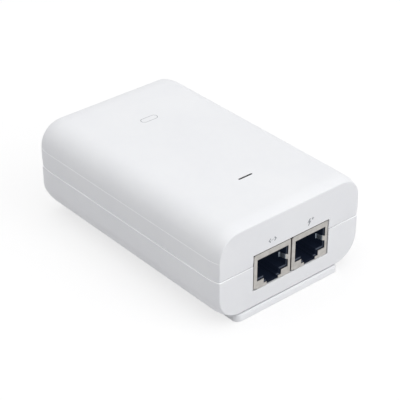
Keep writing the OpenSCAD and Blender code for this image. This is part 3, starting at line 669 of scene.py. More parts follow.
    def _columns(self, cover: Cover, reaches: Mapping[Opening, float]) -> Columns:
        """The columns of a cover's grid.

        They stand close together at the seam, the shoulder and the bend, and one stands on the ray
        through each corner of the openings. Near the seam the section is drawn in by a round edge
        and by a step that runs out upwards.

        Args:
            cover: which cover it is.
            reaches: how far the openings go from the seam.

        Returns:
            The columns.
        """
        points, normals, length = self._section(cover)
        straight = self.height / 2 - cover.corner - self.seam_gap / 2
        bend = np.linspace(straight + self.bend_start, length[-1] / 2 - self.width / 2 + cover.corner,
                           self.bend_columns)
        half = [*(cover.seam_edge * np.array(self.seam_columns)), *self.side_columns, self.seam_fade,
                straight, straight + cover.shoulder_step, *bend,
                *np.linspace(bend[-1], length[-1] / 2, self.flat_columns + 1)[1:]]
        at = [np.array(half), length[-1] - np.array(half)]
        at += [np.interp(opening.angles(opening.corners(reach)), opening.angles(points), length)
               for opening, reach in reaches.items()]
        at = np.unique(np.concatenate(at).round(DIGITS))
        place, normal = (np.column_stack([np.interp(at, length, part) for part in whole.T])
                         for whole in (points, normals))
        rise = np.minimum(at, at[-1] - at)
        away = np.clip(cover.seam_edge - rise, 0, None)
        drop = cover.seam_edge - np.sqrt(cover.seam_edge ** 2 - away ** 2)
        drop += cover.seam_step * np.clip(1 - rise / self.seam_fade, 0, 1)
        return Columns(place, normal, rise, drop)

    def _ledge(self, cover: Cover, rise: np.ndarray) -> np.ndarray:
        """How far the section is drawn in above the shoulder: at once, and less further on.

        Args:
            cover: which cover it is.
            rise: the columns' way from the seam.

        Returns:
            That depth for each column.
        """
        above = rise + self.seam_gap / 2 - (self.height / 2 - cover.corner)
        return np.minimum(np.clip(above, 0, cover.shoulder_step),
                          cover.shoulder_step * np.clip(1 - above / self.shoulder_fade, 0, 1))

    def _end(self, columns: Columns, opening: Opening, reach: float, inset: float,
             lining: Points) -> tuple[Points, Points]:
        """The rows of one end, from its outer edge in to the opening's rim.

        A row is the edge times its share, plus the rim times the rest.

        Args:
            columns: the grid's columns.
            opening: the opening in this end.
            reach: how far it goes from the seam.
            inset: how far the section is drawn in at the end face.
            lining: the lining's last row at this end.

        Returns:
            The rows outside, and those inside.
        """
        way = np.sign(lining[0, 1])
        face_y = way * (self.length / 2 - columns.drop)
        hole = opening.towards(columns.place, reach)
        rim = hole + self.rim_edge * np.sign(np.round(hole - [opening.centre, 0], DIGITS))
        share = np.array(self.plate_rows)[:, None, None]
        plate = (columns.place - columns.normal * inset) * share + rim * (1 - share)
        outside = [in_space(plate, face_y, Axis.Y),
                   in_space(hole, face_y - way * self.rim_edge, Axis.Y)[None]]
        share = np.array(self.lining_rows)[:, None, None]
        inside = lining * share + in_space(hole, lining[:, 1], Axis.Y) * (1 - share)
        return np.vstack(outside), inside

    def shell(self, cover: Cover) -> bpy.types.Mesh:
        """One cover as a closed shell.

        Rows run from the rim of the socket opening over the outside to the rim of the inlet
        opening, and back along the inside; columns run from the right seam to the left seam.

        Args:
            cover: which cover it is.

        Returns:
            Its mesh.
        """
        reaches = {o: (o.high - self.seam if cover.side > 0 else self.seam - o.low)
                   for o in (self.sockets, self.inlet)}
        columns = self._columns(cover, reaches)
        inset, y, tilt = (row[:, None] for row in self._rows())
        out = -(self._ledge(cover, columns.rise) + columns.drop) * np.cos(tilt) - inset
        skin = in_space(columns.place + columns.normal * out[..., None], y - columns.drop * np.sin(tilt),
                        Axis.Y)
        lining = in_space(columns.place - columns.normal * self.wall,
                          y * (1 - 2 * self.wall / self.length), Axis.Y)
        (front, front_lining), (back, back_lining) = (
            self._end(columns, opening, reaches[opening], inset[at, 0], lining[at])
            for opening, at in ((self.sockets, 0), (self.inlet, -1)))
        grids = [np.vstack([front[::-1], skin, back]), np.vstack([front_lining[::-1], lining, back_lining])]
        share, most = self.seam_rise
        least = self.seam_gap / 2 + np.minimum(share * columns.rise, most)
        surface = Surface()
        for grid in grids:
            grid[..., 2] = self.seam + cover.side * np.maximum(grid[..., 2], least)
            surface.grid(grid)
        for rim in (0, -1):
            surface.grid(np.stack([grid[rim] for grid in grids]))
            surface.grid(np.stack([grid[:, rim] for grid in grids]))
        return surface.mesh(cover.name)

    def painted_light(self, centres: Points, normals: Points) -> np.ndarray:
        """How much painted highlight faces take: the fine ledges below the seam and at the shoulder.

        On the front face the ledge's painted highlight grows from the sockets to the corners.

        Args:
            centres: the faces' centres.
            normals: their normals.

        Returns:
            That share for each face, 0 to 1.
        """
        (x, y, z), tilt = centres.T, normals[:, 2]
        least, most = self.ledge_tilt
        half_edge, step = self.lower.seam_edge / 2, self.upper.shoulder_step
        at_seam = (np.abs(self.seam - half_edge - z) < half_edge) & (tilt > least) & (tilt < most)
        shoulder = self.underside + self.height - self.upper.corner
        at_shoulder = ((np.abs(z - shoulder) < 2 * step) & (tilt > self.shoulder_tilt) & (tilt < most)
                       & (np.abs(x) > self.width / 2 - self.shoulder_reach))
        start, way, low = self.front_highlight_fade
        share = np.where(y < self.front_depth - self.length / 2,
                         np.clip((np.abs(x) - start) / way, low, 1), 1.0)
        return np.where(at_seam, share, 0.0) + at_shoulder


@dataclass(frozen=True)
class Marks:
    """Small generic signs, sunk into the shell and filled with grey ink.

    Attributes:
        depth: how deep they are sunk.
        fill: thickness of the ink in them.
        sink: how far the ink goes into the plastic below.
        pen: width of the arrowheads' strokes.
        face_y: where the front face lies.
        top_z: how high the top lies.
        data_at: middle of the network sign in x and z.
        arrow: the arrowheads' inner and outer ends in x, and half their height.
        dots: spacing, radius and number of segments of the dots between them.
        power_at: middle of the bolt.
        bolt: the bolt's outline.
        plus_at: middle of the plus.
        plus_arm: half its width.
        plus_pen: width of its strokes.
        frame_at: middle of the oval frame in x and y.
        frame_size: its width and length.
        frame_pen: width of its line.
        frame_flat: half the straight part between its round corners.
    """

    depth: float = 0.09
    fill: float = 0.05
    sink: float = 0.02
    pen: float = 0.42
    face_y: float = -47.5
    top_z: float = 36.0
    data_at: Pair = (-8.25, 26.2)
    arrow: tuple[float, float, float] = (0.8, 1.5, 0.72)
    dots: tuple[float, float, int] = (0.5, 0.15, 16)
    power_at: Pair = (7.95, 26.05)
    bolt: tuple[Pair, ...] = ((0.5, 1.25), (0.0, 1.25), (-0.9, -0.1), (-0.2, -0.1), (-0.6, -1.35),
                              (-0.2, -1.35), (0.85, 0.25), (0.15, 0.25))
    plus_at: Pair = (9.4, 26.85)
    plus_arm: float = 0.55
    plus_pen: float = 0.34
    frame_at: Pair = (0.4, 25.6)
    frame_size: Pair = (7.0, 2.8)
    frame_pen: float = 0.22
    frame_flat: float = 0.01

    def data_outlines(self) -> list[Points]:
        """Two arrowheads that point apart, with three dots between them.

        Returns:
            Their outlines in x and z.
        """
        x, z = self.data_at
        inner, outer, rise = self.arrow
        spacing, radius, steps = self.dots
        heads = [stroke([(x + s * inner, z - rise), (x + s * outer, z), (x + s * inner, z + rise)], self.pen)
                 for s in (-1, 1)]
        return heads + [circle((x + n * spacing, z), radius, steps) for n in (-1, 0, 1)]

    def power_outlines(self) -> list[Points]:
        """A bolt, with a small plus at its upper right.

        The plus is one quarter, turned by 90 degrees three times.

        Returns:
            Their outlines in x and z.
        """
        arm, half = self.plus_arm, self.plus_pen / 2
        quarter = np.array([[half, half], [half, arm], [-half, arm]])
        turn = np.array([[0, 1], [-1, 0]])
        plus = np.vstack([quarter @ np.linalg.matrix_power(turn, n) for n in range(4)])
        return [np.array(self.bolt) + self.power_at, plus + self.plus_at]

    def _frame(self, low: float, high: float) -> Surface:
        """The oval frame as a ring of four-sided rows.

        Args:
            low: height of its underside.
            high: height of its top.

        Returns:
            The ring.
        """
        width, length = self.frame_size
        outer, inner = (rounded_rectangle(width - 2 * by, length - 2 * by,
                                          length / 2 - by - self.frame_flat, steps=12,
                                          centre=self.frame_at) for by in (0, self.frame_pen))
        ring = [in_space(outer, low), in_space(outer, high), in_space(inner, high), in_space(inner, low)]
        return Surface().grid(np.stack([*ring, ring[0]]), closed=True)

    def _solid(self, outlines: Sequence[Points], low: float, high: float) -> Surface:
        """Straight solids in the front face, of all the outlines.

        Args:
            outlines: the outlines in x and z.
            low: where the solids start in y.
            high: where they end.

        Returns:
            The solids.
        """
        surface = Surface()
        for outline in outlines:
            surface.prism(outline, low, high, Axis.Y)
        return surface

    def cut(self, mesh: bpy.types.Mesh) -> bpy.types.Mesh:
        """Sinks the signs and the oval frame into the upper cover.

        Args:
            mesh: the cover's mesh.

        Returns:
            The new mesh.
        """
        signs = self._solid(self.data_outlines() + self.power_outlines(), self.face_y - PAST,
                            self.face_y + self.depth)
        mesh = combine(mesh, signs, Cut.AWAY)
        return combine(mesh, self._frame(self.top_z - self.depth, self.top_z + PAST), Cut.AWAY)

    def pieces(self) -> list[Piece]:
        """The ink in the signs and in the oval frame.

        Returns:
            One piece for each.
        """
        ink, below = self.depth - self.fill, self.depth + self.sink
        y, z = (self.face_y + ink, self.face_y + below), (self.top_z - below, self.top_z - ink)
        solids = {"data_sign_ink": self._solid(self.data_outlines(), *y),
                  "power_sign_ink": self._solid(self.power_outlines(), *y),
                  "oval_frame_ink": self._frame(*z)}
        return [Piece(name, solid.mesh(name), "ink") for name, solid in solids.items()]


@dataclass(frozen=True)
class LightPipe:
    """The narrow light in the top cover, with its flange below the ceiling and its stem to the lamp.

    Attributes:
        y: where it lies.
        top: height of its top.
        ceiling: height of the cover's inner face.
        width: the bar's size in x.
        thickness: the bar's size in y.
        clearance: gap round the bar in its slot.
        end_flat: half the straight part in its round ends.
        foot: how far the bar goes below the ceiling.
        crown: the bar's growth and depth below its top, row by row.
        flange: the flange's size in x and y.
        flange_z: its underside and top, below the ceiling.
        stem: the stem's size in x and y.
        stem_top: where the stem starts, below the ceiling.
        lamp: height of the lamp.
    """

    y: float = -25.1
    top: float = 35.9
    ceiling: float = 33.8
    width: float = 5.9
    thickness: float = 0.7
    clearance: float = 0.04
    end_flat: float = 0.001
    foot: float = 0.5
    crown: tuple[Pair, ...] = ((0.0, 0.05), (-0.04, 0.01), (-0.1, 0.0))
    flange: Pair = (8.2, 2.8)
    flange_z: Pair = (1.2, 0.02)
    stem: Pair = (3.0, 1.6)
    stem_top: float = 1.0
    lamp: float = 11.0

    def _bar(self, grow: float) -> Points:
        """The bar's outline, with round ends, grown by grow."""
        across, thick = self.width + 2 * grow, self.thickness + 2 * grow
        return rounded_rectangle(across, thick, thick / 2 - self.end_flat, centre=(0.0, self.y))

    def cut(self, mesh: bpy.types.Mesh) -> bpy.types.Mesh:
        """Cuts the slot out of the top cover."""
        slot = Surface().prism(self._bar(self.clearance), self.ceiling - PAST, self.top + PAST)
        return combine(mesh, slot, Cut.AWAY)

    def piece(self) -> Piece:
        """The bar with a slightly crowned top, its flange and its stem.

        Returns:
            The piece.
        """
        rows = [in_space(self._bar(grow), self.top - depth) for grow, depth in self.crown]
        mesh = Surface().loft([in_space(self._bar(0.0), self.ceiling - self.foot), *rows]
                              ).mesh("light_pipe_lens")
        below, above = self.flange_z
        for (x, y), low, high in ((self.flange, self.ceiling - below, self.ceiling - above),
                                  (self.stem, self.lamp, self.ceiling - self.stem_top)):
            block = Surface().box((-x / 2, self.y - y / 2, low), (x / 2, self.y + y / 2, high))
            mesh = combine(mesh, block, Cut.ADDED)
        return Piece("light_pipe_lens", mesh, "smoked_lens", stands_for=("light_pipe",))


@dataclass(frozen=True)
class HookSeats:
    """The blind pockets in the lower cover that take the bracket's hooks, and the board's posts.

    Attributes:
        xs: where the pockets lie in x.
        ys: where their hooks start in y.
        width: the pockets' width.
        below: where their cut starts, under the case.
        ledge: height of the ledge that a hook slides over.
        roof: height of the pockets' roof.
        entry: the entry's front and back, from the hook.
        slot_end: the slot's back end, from the hook.
        side: wall of the blocks round the pockets.
        floor: height of the cover's inner floor.
        root: how far blocks and posts go into the floor.
        block_top: height of the blocks.
        post_at: the posts' distance from the middle in x and y.
        board: heights of the board's underside and top.
        post: radii of a post, of its pin and of the pin's end.
        pin: how far the pin stands above the board, to its chamfer and to its end.
    """

    xs: Pair = (-15.0, 15.0)
    ys: Pair = (-30.0, 22.0)
    width: float = 6.6
    below: float = 1.6
    ledge: float = 3.9
    roof: float = 5.8
    entry: Pair = (-5.3, 1.9)
    slot_end: float = 5.9
    side: float = 1.4
    floor: float = 4.8
    root: float = 0.4
    block_top: float = 6.7
    post_at: Pair = (23.544, 41.4)
    board: Pair = (8.3, 9.9)
    post: tuple[float, float, float] = (2.5, 1.15, 0.95)
    pin: Pair = (1.0, 1.3)

    @property
    def places(self) -> list[Pair]:
        """Where the four hooks start, in x and y."""
        return list(product(self.xs, self.ys))

    def pockets(self) -> Surface:
        """What is cut away: an entry from below, and a slot above the ledge behind it.

        Returns:
            One L-shaped solid for each pocket.
        """
        front, back = self.entry
        section = np.array([[front, self.below], [back, self.below], [back, self.ledge],
                            [self.slot_end, self.ledge], [self.slot_end, self.roof], [front, self.roof]])
        surface = Surface()
        for x, y in self.places:
            surface.prism(section + [y, 0], x - self.width / 2, x + self.width / 2, Axis.X)
        return surface

    def bosses(self) -> Surface:
        """The blocks round the pockets and the posts with their pins.

        Returns:
            All of them.
        """
        surface = Surface()
        half, root = self.width / 2 + self.side, self.floor - self.root
        for x, y in self.places:
            surface.box((x - half, y + self.entry[0] - self.side, root),
                        (x + half, y + self.slot_end + self.side, self.block_top))
        (low, high), (post, pin, tip) = self.board, self.post
        edge, end = (high + above for above in self.pin)
        profile = [(post, root), (post, low), (pin, low), (pin, edge), (tip, end)]
        for x, y in product((-1, 1), repeat=2):
            surface.lathe((x * self.post_at[0], y * self.post_at[1]), profile)
        return surface


@dataclass(frozen=True)
class Case:
    """The case: both covers, the signs and the light."""

    shells: CaseShells = CaseShells()
    marks: Marks = Marks()
    light: LightPipe = LightPipe()
    seats: HookSeats = HookSeats()

    def pieces(self) -> list[Piece]:
        """The covers, the light pipe and the signs' ink.

        Returns:
            The pieces.
        """
        top = self.marks.cut(self.light.cut(self.shells.shell(self.shells.upper)))
        bottom = combine(self.shells.shell(self.shells.lower), self.seats.bosses(), Cut.ADDED)
        bottom = combine(bottom, self.seats.pockets(), Cut.AWAY)
        # The ledges at the seam and the shoulder get a painted highlight.
        for mesh in (top, bottom):
            mark_painted_light(mesh, self.shells.painted_light)
        return [
            Piece("top_shell", top, "white_shell", stands_for=("top_cover",)),
            Piece("bottom_shell", bottom, "white_shell", stands_for=("bottom_cover",)),
            self.light.piece(),
            *self.marks.pieces(),
        ]


# ---------- the wall bracket ----------


@dataclass(frozen=True)
class Bracket:
    """The plate that is screwed to a wall, with four hooks and a sprung catch.

    Attributes:
        width: the plate's size in x.
        length: its size in y.
        radius: radius of its corners.
        least_radius: the least that a row of points has there.
        thickness: its size in z.
        front: where its front edge lies.
        top_edge: radius of its upper edge.
        low_edge: radius of its lower edge.
        edge_rows: rows of points on either radius.
        flat_insets: how far in the first and the last row on its top lie, with their number.
        lip: how far the low lip along its front stands up.
        lip_length: the lip's size in y.
        screw_ys: where the screw holes lie.
        hole: their diameter.
        head: diameter of their countersinks.
        head_depth: depth of the countersinks.
        recess: depth of the two recesses below.
        recess_size: their size in x and y.
        recess_at: their distance from the middle in x, and their place in y.
        recess_radius: radius of their corners.
        tongue: the catch's tongue in x and y.
        tongue_y: where it starts.
        slit: width of the slit round it.
        bump: height of the bump on it.
        bump_back: how far the bump lies from the tongue's tip.
        bump_slopes: where the bump's top starts and ends, and where the bump ends, in y.
        hook: the hooks' width, and their stem's size in y.
        hook_lip: how far a hook reaches past its stem.
        hook_z: heights of a hook's underside and top.
        hook_edge: chamfer of a hook's top.
        root: how far hooks and bump go into the plate.
        seats: the pockets that the hooks go into.
    """

    width: float = 46.0
    length: float = 86.0
    radius: float = 2.4
    least_radius: float = 0.1
    thickness: float = 2.4
    front: float = -47.5
    top_edge: float = 0.6
    low_edge: float = 0.3
    edge_rows: int = 7
    flat_insets: tuple[float, float, int] = (1.0, 3.0, 6)
    lip: float = 0.55
    lip_length: float = 1.6
    screw_ys: Pair = (-35.0, 15.0)
    hole: float = 4.2
    head: float = 7.8
    head_depth: float = 1.5
    recess: float = 0.7
    recess_size: Pair = (13.1, 64.0)
    recess_at: Pair = (13.45, -10.0)
    recess_radius: float = 2.0
    tongue: Pair = (9.0, 13.0)
    tongue_y: float = 21.5
    slit: float = 1.0
    bump: float = 0.15
    bump_back: float = 3.0
    bump_slopes: tuple[float, float, float] = (0.4, 1.1, 1.5)
    hook: Pair = (6.0, 1.6)
    hook_lip: float = 4.0
    hook_z: Pair = (4.05, 5.65)
    hook_edge: float = 0.3
    root: float = 0.3
    seats: HookSeats = HookSeats()

    def _plate(self) -> Surface:
        """The plate, with a round upper edge, a small lower one and a low lip along its front.

        The lip rises with 3 t^2 - 2 t^3, where t goes from 0 to 1 towards the front edge.

        Returns:
            The closed plate.
        """
        turn = np.linspace(0, np.pi / 2, self.edge_rows)
        lower = self.low_edge * np.column_stack([1 - np.sin(turn), 1 - np.cos(turn)])
        upper = self.top_edge * np.column_stack([1 - np.cos(turn), np.sin(turn) - 1]) + [0, self.thickness]
        inward = np.linspace(*self.flat_insets)
        flat = np.column_stack([inward, np.full(len(inward), self.thickness)])
        middle = (0.0, self.front + self.length / 2)
        rows = np.stack([in_space(rounded_rectangle(self.width - 2 * inset, self.length - 2 * inset,
                                                    max(self.radius - inset, self.least_radius),
                                                    steps=12, centre=middle), z)
                         for inset, z in np.vstack([lower, upper, flat])])
        lip_end = self.front + self.top_edge + self.lip_length
        to_lip = np.clip((lip_end - rows[..., 1]) / self.lip_length, 0, 1)
        upper_half = np.clip(rows[..., 2] / self.thickness * 2 - 1, 0, 1)
        rows[..., 2] += self.lip * to_lip ** 2 * (3 - 2 * to_lip) * upper_half
        return Surface().loft(rows)

    def _cuts(self) -> list[Surface]:
        """What is cut out of the plate.

        Returns:
            The screw holes with their countersinks, the recesses below, and the tongue's slit.
        """
        top, hole, head = self.thickness, self.hole / 2, self.head / 2
        screws, below = Surface(), Surface()
        for y in self.screw_ys:
            screws.lathe((0.0, y), [(hole, -PAST), (hole, top - self.head_depth), (head, top),
                                    (head, top + PAST)])
        x, y = self.recess_at
        for side in (-1, 1):
            below.prism(rounded_rectangle(*self.recess_size, self.recess_radius, centre=(side * x, y)),
                        -PAST, self.recess)
        (width, length), start = self.tongue, self.tongue_y
        edge, end = width / 2 + self.slit, start + length + self.slit
        slit = np.array([[-edge, start], [-width / 2, start], [-width / 2, start + length],
                         [width / 2, start + length], [width / 2, start], [edge, start], [edge, end],
                         [-edge, end]])
        return [screws, below, Surface().prism(slit, -PAST, top + PAST)]

    def _additions(self) -> Surface:
        """What stands on the plate.

        Returns:
            The hooks and the catch's bump.
        """
        (width, stem), (low, high) = self.hook, self.hook_z
        root, reach, edge = self.thickness - self.root, stem + self.hook_lip, self.hook_edge
        hook = np.array([[0, root], [stem, root], [stem, low], [reach, low], [reach, high - edge],
                         [reach - edge, high], [edge, high], [0, high - edge]])
        surface = Surface()
        for x, y in self.seats.places:
            surface.prism(hook + [y, 0], x - width / 2, x + width / 2, Axis.X)
        (first, last, end), top = self.bump_slopes, self.thickness + self.bump
        bump = np.array([[0, root], [end, root], [end, self.thickness], [last, top], [first, top],
                         [0, self.thickness]])
        y = self.tongue_y + self.tongue[1] - self.bump_back
        return surface.prism(bump + [y, 0], -self.tongue[0] / 4, self.tongue[0] / 4, Axis.X)

    def piece(self) -> Piece:
        """The bracket as one piece.

        Returns:
            The piece.
        """
        mesh = self._plate().mesh("bracket_plate")
        for cutter in self._cuts():
            mesh = combine(mesh, cutter, Cut.AWAY)
        mesh = combine(mesh, self._additions(), Cut.ADDED)
        return Piece("bracket_plate", mesh, "white_bracket", "bracket", ("wall_bracket",))


# ---------- the network sockets ----------


class Side(Enum):
    """Which of the two sockets."""

    LEFT = "left"
    RIGHT = "right"


@dataclass(frozen=True)
class SocketShield:
    """The tinned sheet box of one socket, with a stepped window and a sprung ground finger.

    Attributes:
        side: which socket it is for.
        x: its middle.
        face_y: where its face lies.
        board: height of the board's top, from which its own heights count.
        width: its size in x.
        depth: its size in y.
        height: its height above the board.
        apron: how far its face goes down past the board's top.
        sheet: thickness of the sheet.
        fold: outer radius of its upright folds.
        inner_fold: their inner radius.
        window: the window's width, and the heights of its lower and upper edge.
        window_shift: how far it lies to the right of the middle.
        step: width of the step below it, and how high that starts.
        notch: width of the notch below the step.
        relief: short and long reach of the reliefs cut at the face's corners.
        relief_depth: how far behind the face they go.
        finger_z: heights of the finger's lower and upper edge.
        finger_sheet: thickness of the finger, as a share of the sheet's.
        finger: its path in x and y, from the window's right edge.
        leg_ys: where its legs start behind the face.
        leg_length: their size in y.
        leg_drop: how far they go below the board's top.
        leg_rise: how far they go up into the sides.
        painted_shade: how far behind the face the finger takes a painted shade, from and to.
    """

    side: Side
    x: float
    face_y: float = -47.4
    board: float = 9.9
    width: float = 16.05
    depth: float = 18.7
    height: float = 13.08
    apron: float = 0.1
    sheet: float = 0.2
    fold: float = 0.35
    inner_fold: float = 0.08
    window: tuple[float, float, float] = (13.47, 2.82, 11.05)
    window_shift: float = 0.06
    step: Pair = (7.6, 1.05)
    notch: float = 5.0
    relief: Pair = (0.35, 1.2)
    relief_depth: float = 1.4
    finger_z: Pair = (5.62, 7.5)
    finger_sheet: float = 0.85
    finger: tuple[Pair, ...] = (
        (0.2, 0.1), (0.0, 0.1), (-0.08, 0.16), (-0.46, 0.64), (-0.54, 0.78), (-0.62, 1.05), (-0.83, 1.8),
        (-1.02, 2.5), (-1.12, 2.78), (-1.27, 2.96), (-1.42, 3.03))
    leg_ys: Pair = (6.2, 13.2)
    leg_length: float = 1.2
    leg_drop: float = 2.8
    leg_rise: float = 0.3
    painted_shade: Pair = (0.4, 4.0)

    @property
    def name(self) -> str:
        """The piece's name."""
        return f"socket_shield_{self.side.value}"

    def _hollow_box(self) -> bpy.types.Mesh:
        """The folded box, open below.

        Returns:
            Its mesh.
        """
        middle = (self.x, self.face_y + self.depth / 2)
        outside = rounded_rectangle(self.width, self.depth, self.fold, steps=4, centre=middle)
        inside = rounded_rectangle(self.width - 2 * self.sheet, self.depth - 2 * self.sheet,
                                   self.inner_fold, steps=2, centre=middle)
        mesh = Surface().prism(outside, self.board - self.apron, self.board + self.height).mesh(self.name)
        room = Surface().prism(inside, self.board - PAST, self.board + self.height - self.sheet)
        return combine(mesh, room, Cut.AWAY)

    def _window(self) -> Surface:
        """The stepped window that is cut out of the face.

        Returns:
            The cutting solid.
        """
        (wide, low, high), (step, step_low) = self.window, self.step
        right = np.array([[self.notch / 2, -PAST], [self.notch / 2, step_low], [step / 2, step_low],
                          [step / 2, low], [wide / 2, low], [wide / 2, high]])
        return Surface().prism(mirrored(right) + [self.x + self.window_shift, self.board],
                               self.face_y - PAST, self.face_y + PAST, Axis.Y)

    def _below(self) -> Surface:
        """What is cut off below the board's top, behind the face's apron.

        Returns:
            The cutting solid.
        """
        low, start = self.board - self.apron - PAST, self.face_y + 2 * self.sheet
        return Surface().box((self.x - self.width, start, low),
                             (self.x + self.width, start + self.depth, self.board))

    def _reliefs(self) -> Surface:
        """The reliefs at the face's folded corners, of which the lower left one is longer.

        Returns:
            The cutting solids.
        """
        bottom, top = self.board - self.apron, self.board + self.height
        small, broad = self.relief
        surface = Surface()
        for side, at, across in ((-1, bottom, broad), (1, bottom, small), (-1, top, small), (1, top, small)):
            edge = self.x + side * self.width / 2
            low, high = sorted((edge + side, edge - side * across))
            surface.box((low, self.face_y - PAST, at - small),
                        (high, self.face_y + self.relief_depth, at + small))
        return surface

    def _finger(self) -> Surface:
        """A tab of the window's right edge that turns inward and flares out again at its tip.

        Returns:
            The finger.
        """
        start = [self.x + self.window_shift + self.window[0] / 2, self.face_y]
        outline = stroke(self.finger, self.sheet * self.finger_sheet) + start
        return Surface().prism(outline, *(self.board + z for z in self.finger_z))

    def _legs(self) -> Surface:
        """The four legs through the board.

        Returns:
            The legs.
        """
        surface = Surface()
        for side, y in product((-1, 1), self.leg_ys):
            x, start = self.x + side * (self.width - self.sheet) / 2, self.face_y + y
            surface.box((x - self.sheet / 2, start, self.board - self.leg_drop),
                        (x + self.sheet / 2, start + self.leg_length, self.board + self.leg_rise))
        return surface

    def _painted_shade_faces(self, centres: Points, normals: Points) -> np.ndarray:
        """Which faces take a painted shade: those of the finger behind the window.

        Args:
            centres: the faces' centres.
            normals: their normals, which don't matter.

        Returns:
            True for those faces.
        """
        depth, (low, high) = centres[:, 1] - self.face_y, self.painted_shade
        inside = np.abs(centres[:, 0] - self.x - self.window_shift) < self.window[0] / 2 - 2 * self.sheet
        return inside & (depth > low) & (depth < high)

    def piece(self) -> Piece:
        """The shield as one piece.

        Returns:
            The piece.
        """
        mesh = self._hollow_box()
        for cutter in (self._window(), self._below(), self._reliefs()):
            mesh = combine(mesh, cutter, Cut.AWAY)
        for part in (self._legs(), self._finger()):
            mesh = combine(mesh, part, Cut.ADDED)
        # The finger behind the window gets a painted shade.
        mark_painted_light(mesh, self._painted_shade_faces)
        return Piece(self.name, mesh, "tin_shield", stands_for=(f"jack_shield_{self.side.value}",),
                     edge=0.05)


@dataclass(frozen=True)
class SocketHousing:
    """The dark plastic body of one socket, with the plug's stepped cavity and sloped lead-ins.

    Attributes:
        side: which socket it is for.
        x: its middle.
        front_y: where its front lies.
        board: height of the board's top, from which its own heights count.
        width: its size in x.
        depth: its size in y.
        height: its height above the board.
        cavity: the plug's cavity: width, height of its floor, and its own height.
        cavity_depth: the cavity's depth.
        latch: width of the latch's groove, and how high that starts.
        slot: width of the slot below the groove, and how high that starts.
        lead_in: width of the slopes round the cavity.
        ahead: how far in front of the housing a sloped cut starts.
        mouth: width of the relief at the front, its slopes, and its depth.
        channel: width and top of the channel above the cavity for the wires, and where it starts.
        channel_low: how far the channel starts below the cavity's roof.
        finger_room: the notch for the ground finger: its inner and outer side in x, and its depth.
        finger_z: heights of its lower and upper edge.
        slope: least tilt of a slope's normal, forward and sideways.
        side_glint: how strongly the right-hand slope takes the painted highlight.
    """

    side: Side
    x: float
    front_y: float = -47.1
    board: float = 9.9
    width: float = 15.3
    depth: float = 14.6
    height: float = 12.75
    cavity: tuple[float, float, float] = (11.9, 3.5, 6.9)
    cavity_depth: float = 13.2
    latch: Pair = (6.6, 1.45)
    slot: Pair = (4.4, 0.55)
    lead_in: float = 0.34
    ahead: float = 0.1
    mouth: tuple[float, float, float] = (12.8, 0.25, 3.9)
    channel: tuple[float, float, float] = (8.7, 11.7, 2.1)
    channel_low: float = 0.5
    finger_room: tuple[float, float, float] = (6.3, 6.95, 1.5)
    finger_z: Pair = (5.47, 7.65)
    slope: float = 0.5
    side_glint: float = 0.6

    @property
    def name(self) -> str:
        """The piece's name."""
        return f"socket_housing_{self.side.value}"

    def _hollow(self, right: Points, lead_in: float, depth: float) -> Surface:
        """A hole from the front, with a lead-in at 45 degrees.

        Args:
            right: the right half of its outline, from the bottom up.
            lead_in: width of the lead-in.
            depth: the hole's depth.

        Returns:
            The cutting solid.
        """
        outline = mirrored(right) + [self.x, self.board]
        rows = (lead_in + self.ahead, -self.ahead), (0.0, lead_in), (0.0, depth)
        return Surface().loft([in_space(grown(outline, by), self.front_y + y, Axis.Y)
                               for by, y in rows])

    def _block(self, low: Sequence[float], high: Sequence[float]) -> Surface:
        """A box between two corners, given from the front's middle at the board's top."""
        place = np.array([self.x, self.front_y, self.board])
        return Surface().box(low + place, high + place)

    def _cuts(self) -> list[Surface]:
        """What is cut out of the housing.

        Returns:
            The cavity, the relief at its mouth, the wires' channel and the notch for the finger.
        """
        wide, floor, tall = self.cavity
        top = floor + tall
        (latch, latch_z), (slot, slot_z) = self.latch, self.slot
        cavity = np.array([[slot / 2, slot_z], [slot / 2, latch_z], [latch / 2, latch_z], [latch / 2, floor],
                           [wide / 2, floor], [wide / 2, top]])
        across, lead_in, depth = self.mouth
        mouth = np.array([[across / 2, floor], [across / 2, top]])
        width, roof, start = self.channel
        inner, outer, room = self.finger_room
        return [
            self._hollow(cavity, self.lead_in, self.cavity_depth),
            self._hollow(mouth, lead_in, depth),
            self._block((-width / 2, start, top - self.channel_low), (width / 2, self.depth + PAST, roof)),
            self._block((inner, -PAST, self.finger_z[0]), (outer, room, self.finger_z[1])),
        ]

    def _painted_highlight(self, centres: Points, normals: Points) -> np.ndarray:
        """How much painted highlight the sloped lead-ins take: fully below the plug, and side_glint of it at
        its right.

        Args:
            centres: the faces' centres.
            normals: their normals.

        Returns:
            That share for each face, 0 to 1.
        """
        height = centres[:, 2] - self.board
        sloped = normals[:, 1] < -self.slope
        below = sloped & (normals[:, 2] > self.slope) & (height > self.slot[1] + self.lead_in)
        beside = sloped & (normals[:, 0] < -self.slope) & (height > self.cavity[1])
        return below + self.side_glint * beside

    def piece(self) -> Piece:
        """The housing as one piece.

        Returns:
            The piece.
        """
        half = self.width / 2
        mesh = self._block((-half, 0, 0), (half, self.depth, self.height)).mesh(self.name)
        for cutter in self._cuts():
            mesh = combine(mesh, cutter, Cut.AWAY)
        # The sloped lead-ins get a painted highlight.
        mark_painted_light(mesh, self._painted_highlight)
        return Piece(self.name, mesh, "socket_plastic", stands_for=(f"jack_housing_{self.side.value}",))


# ---------- finishes ----------


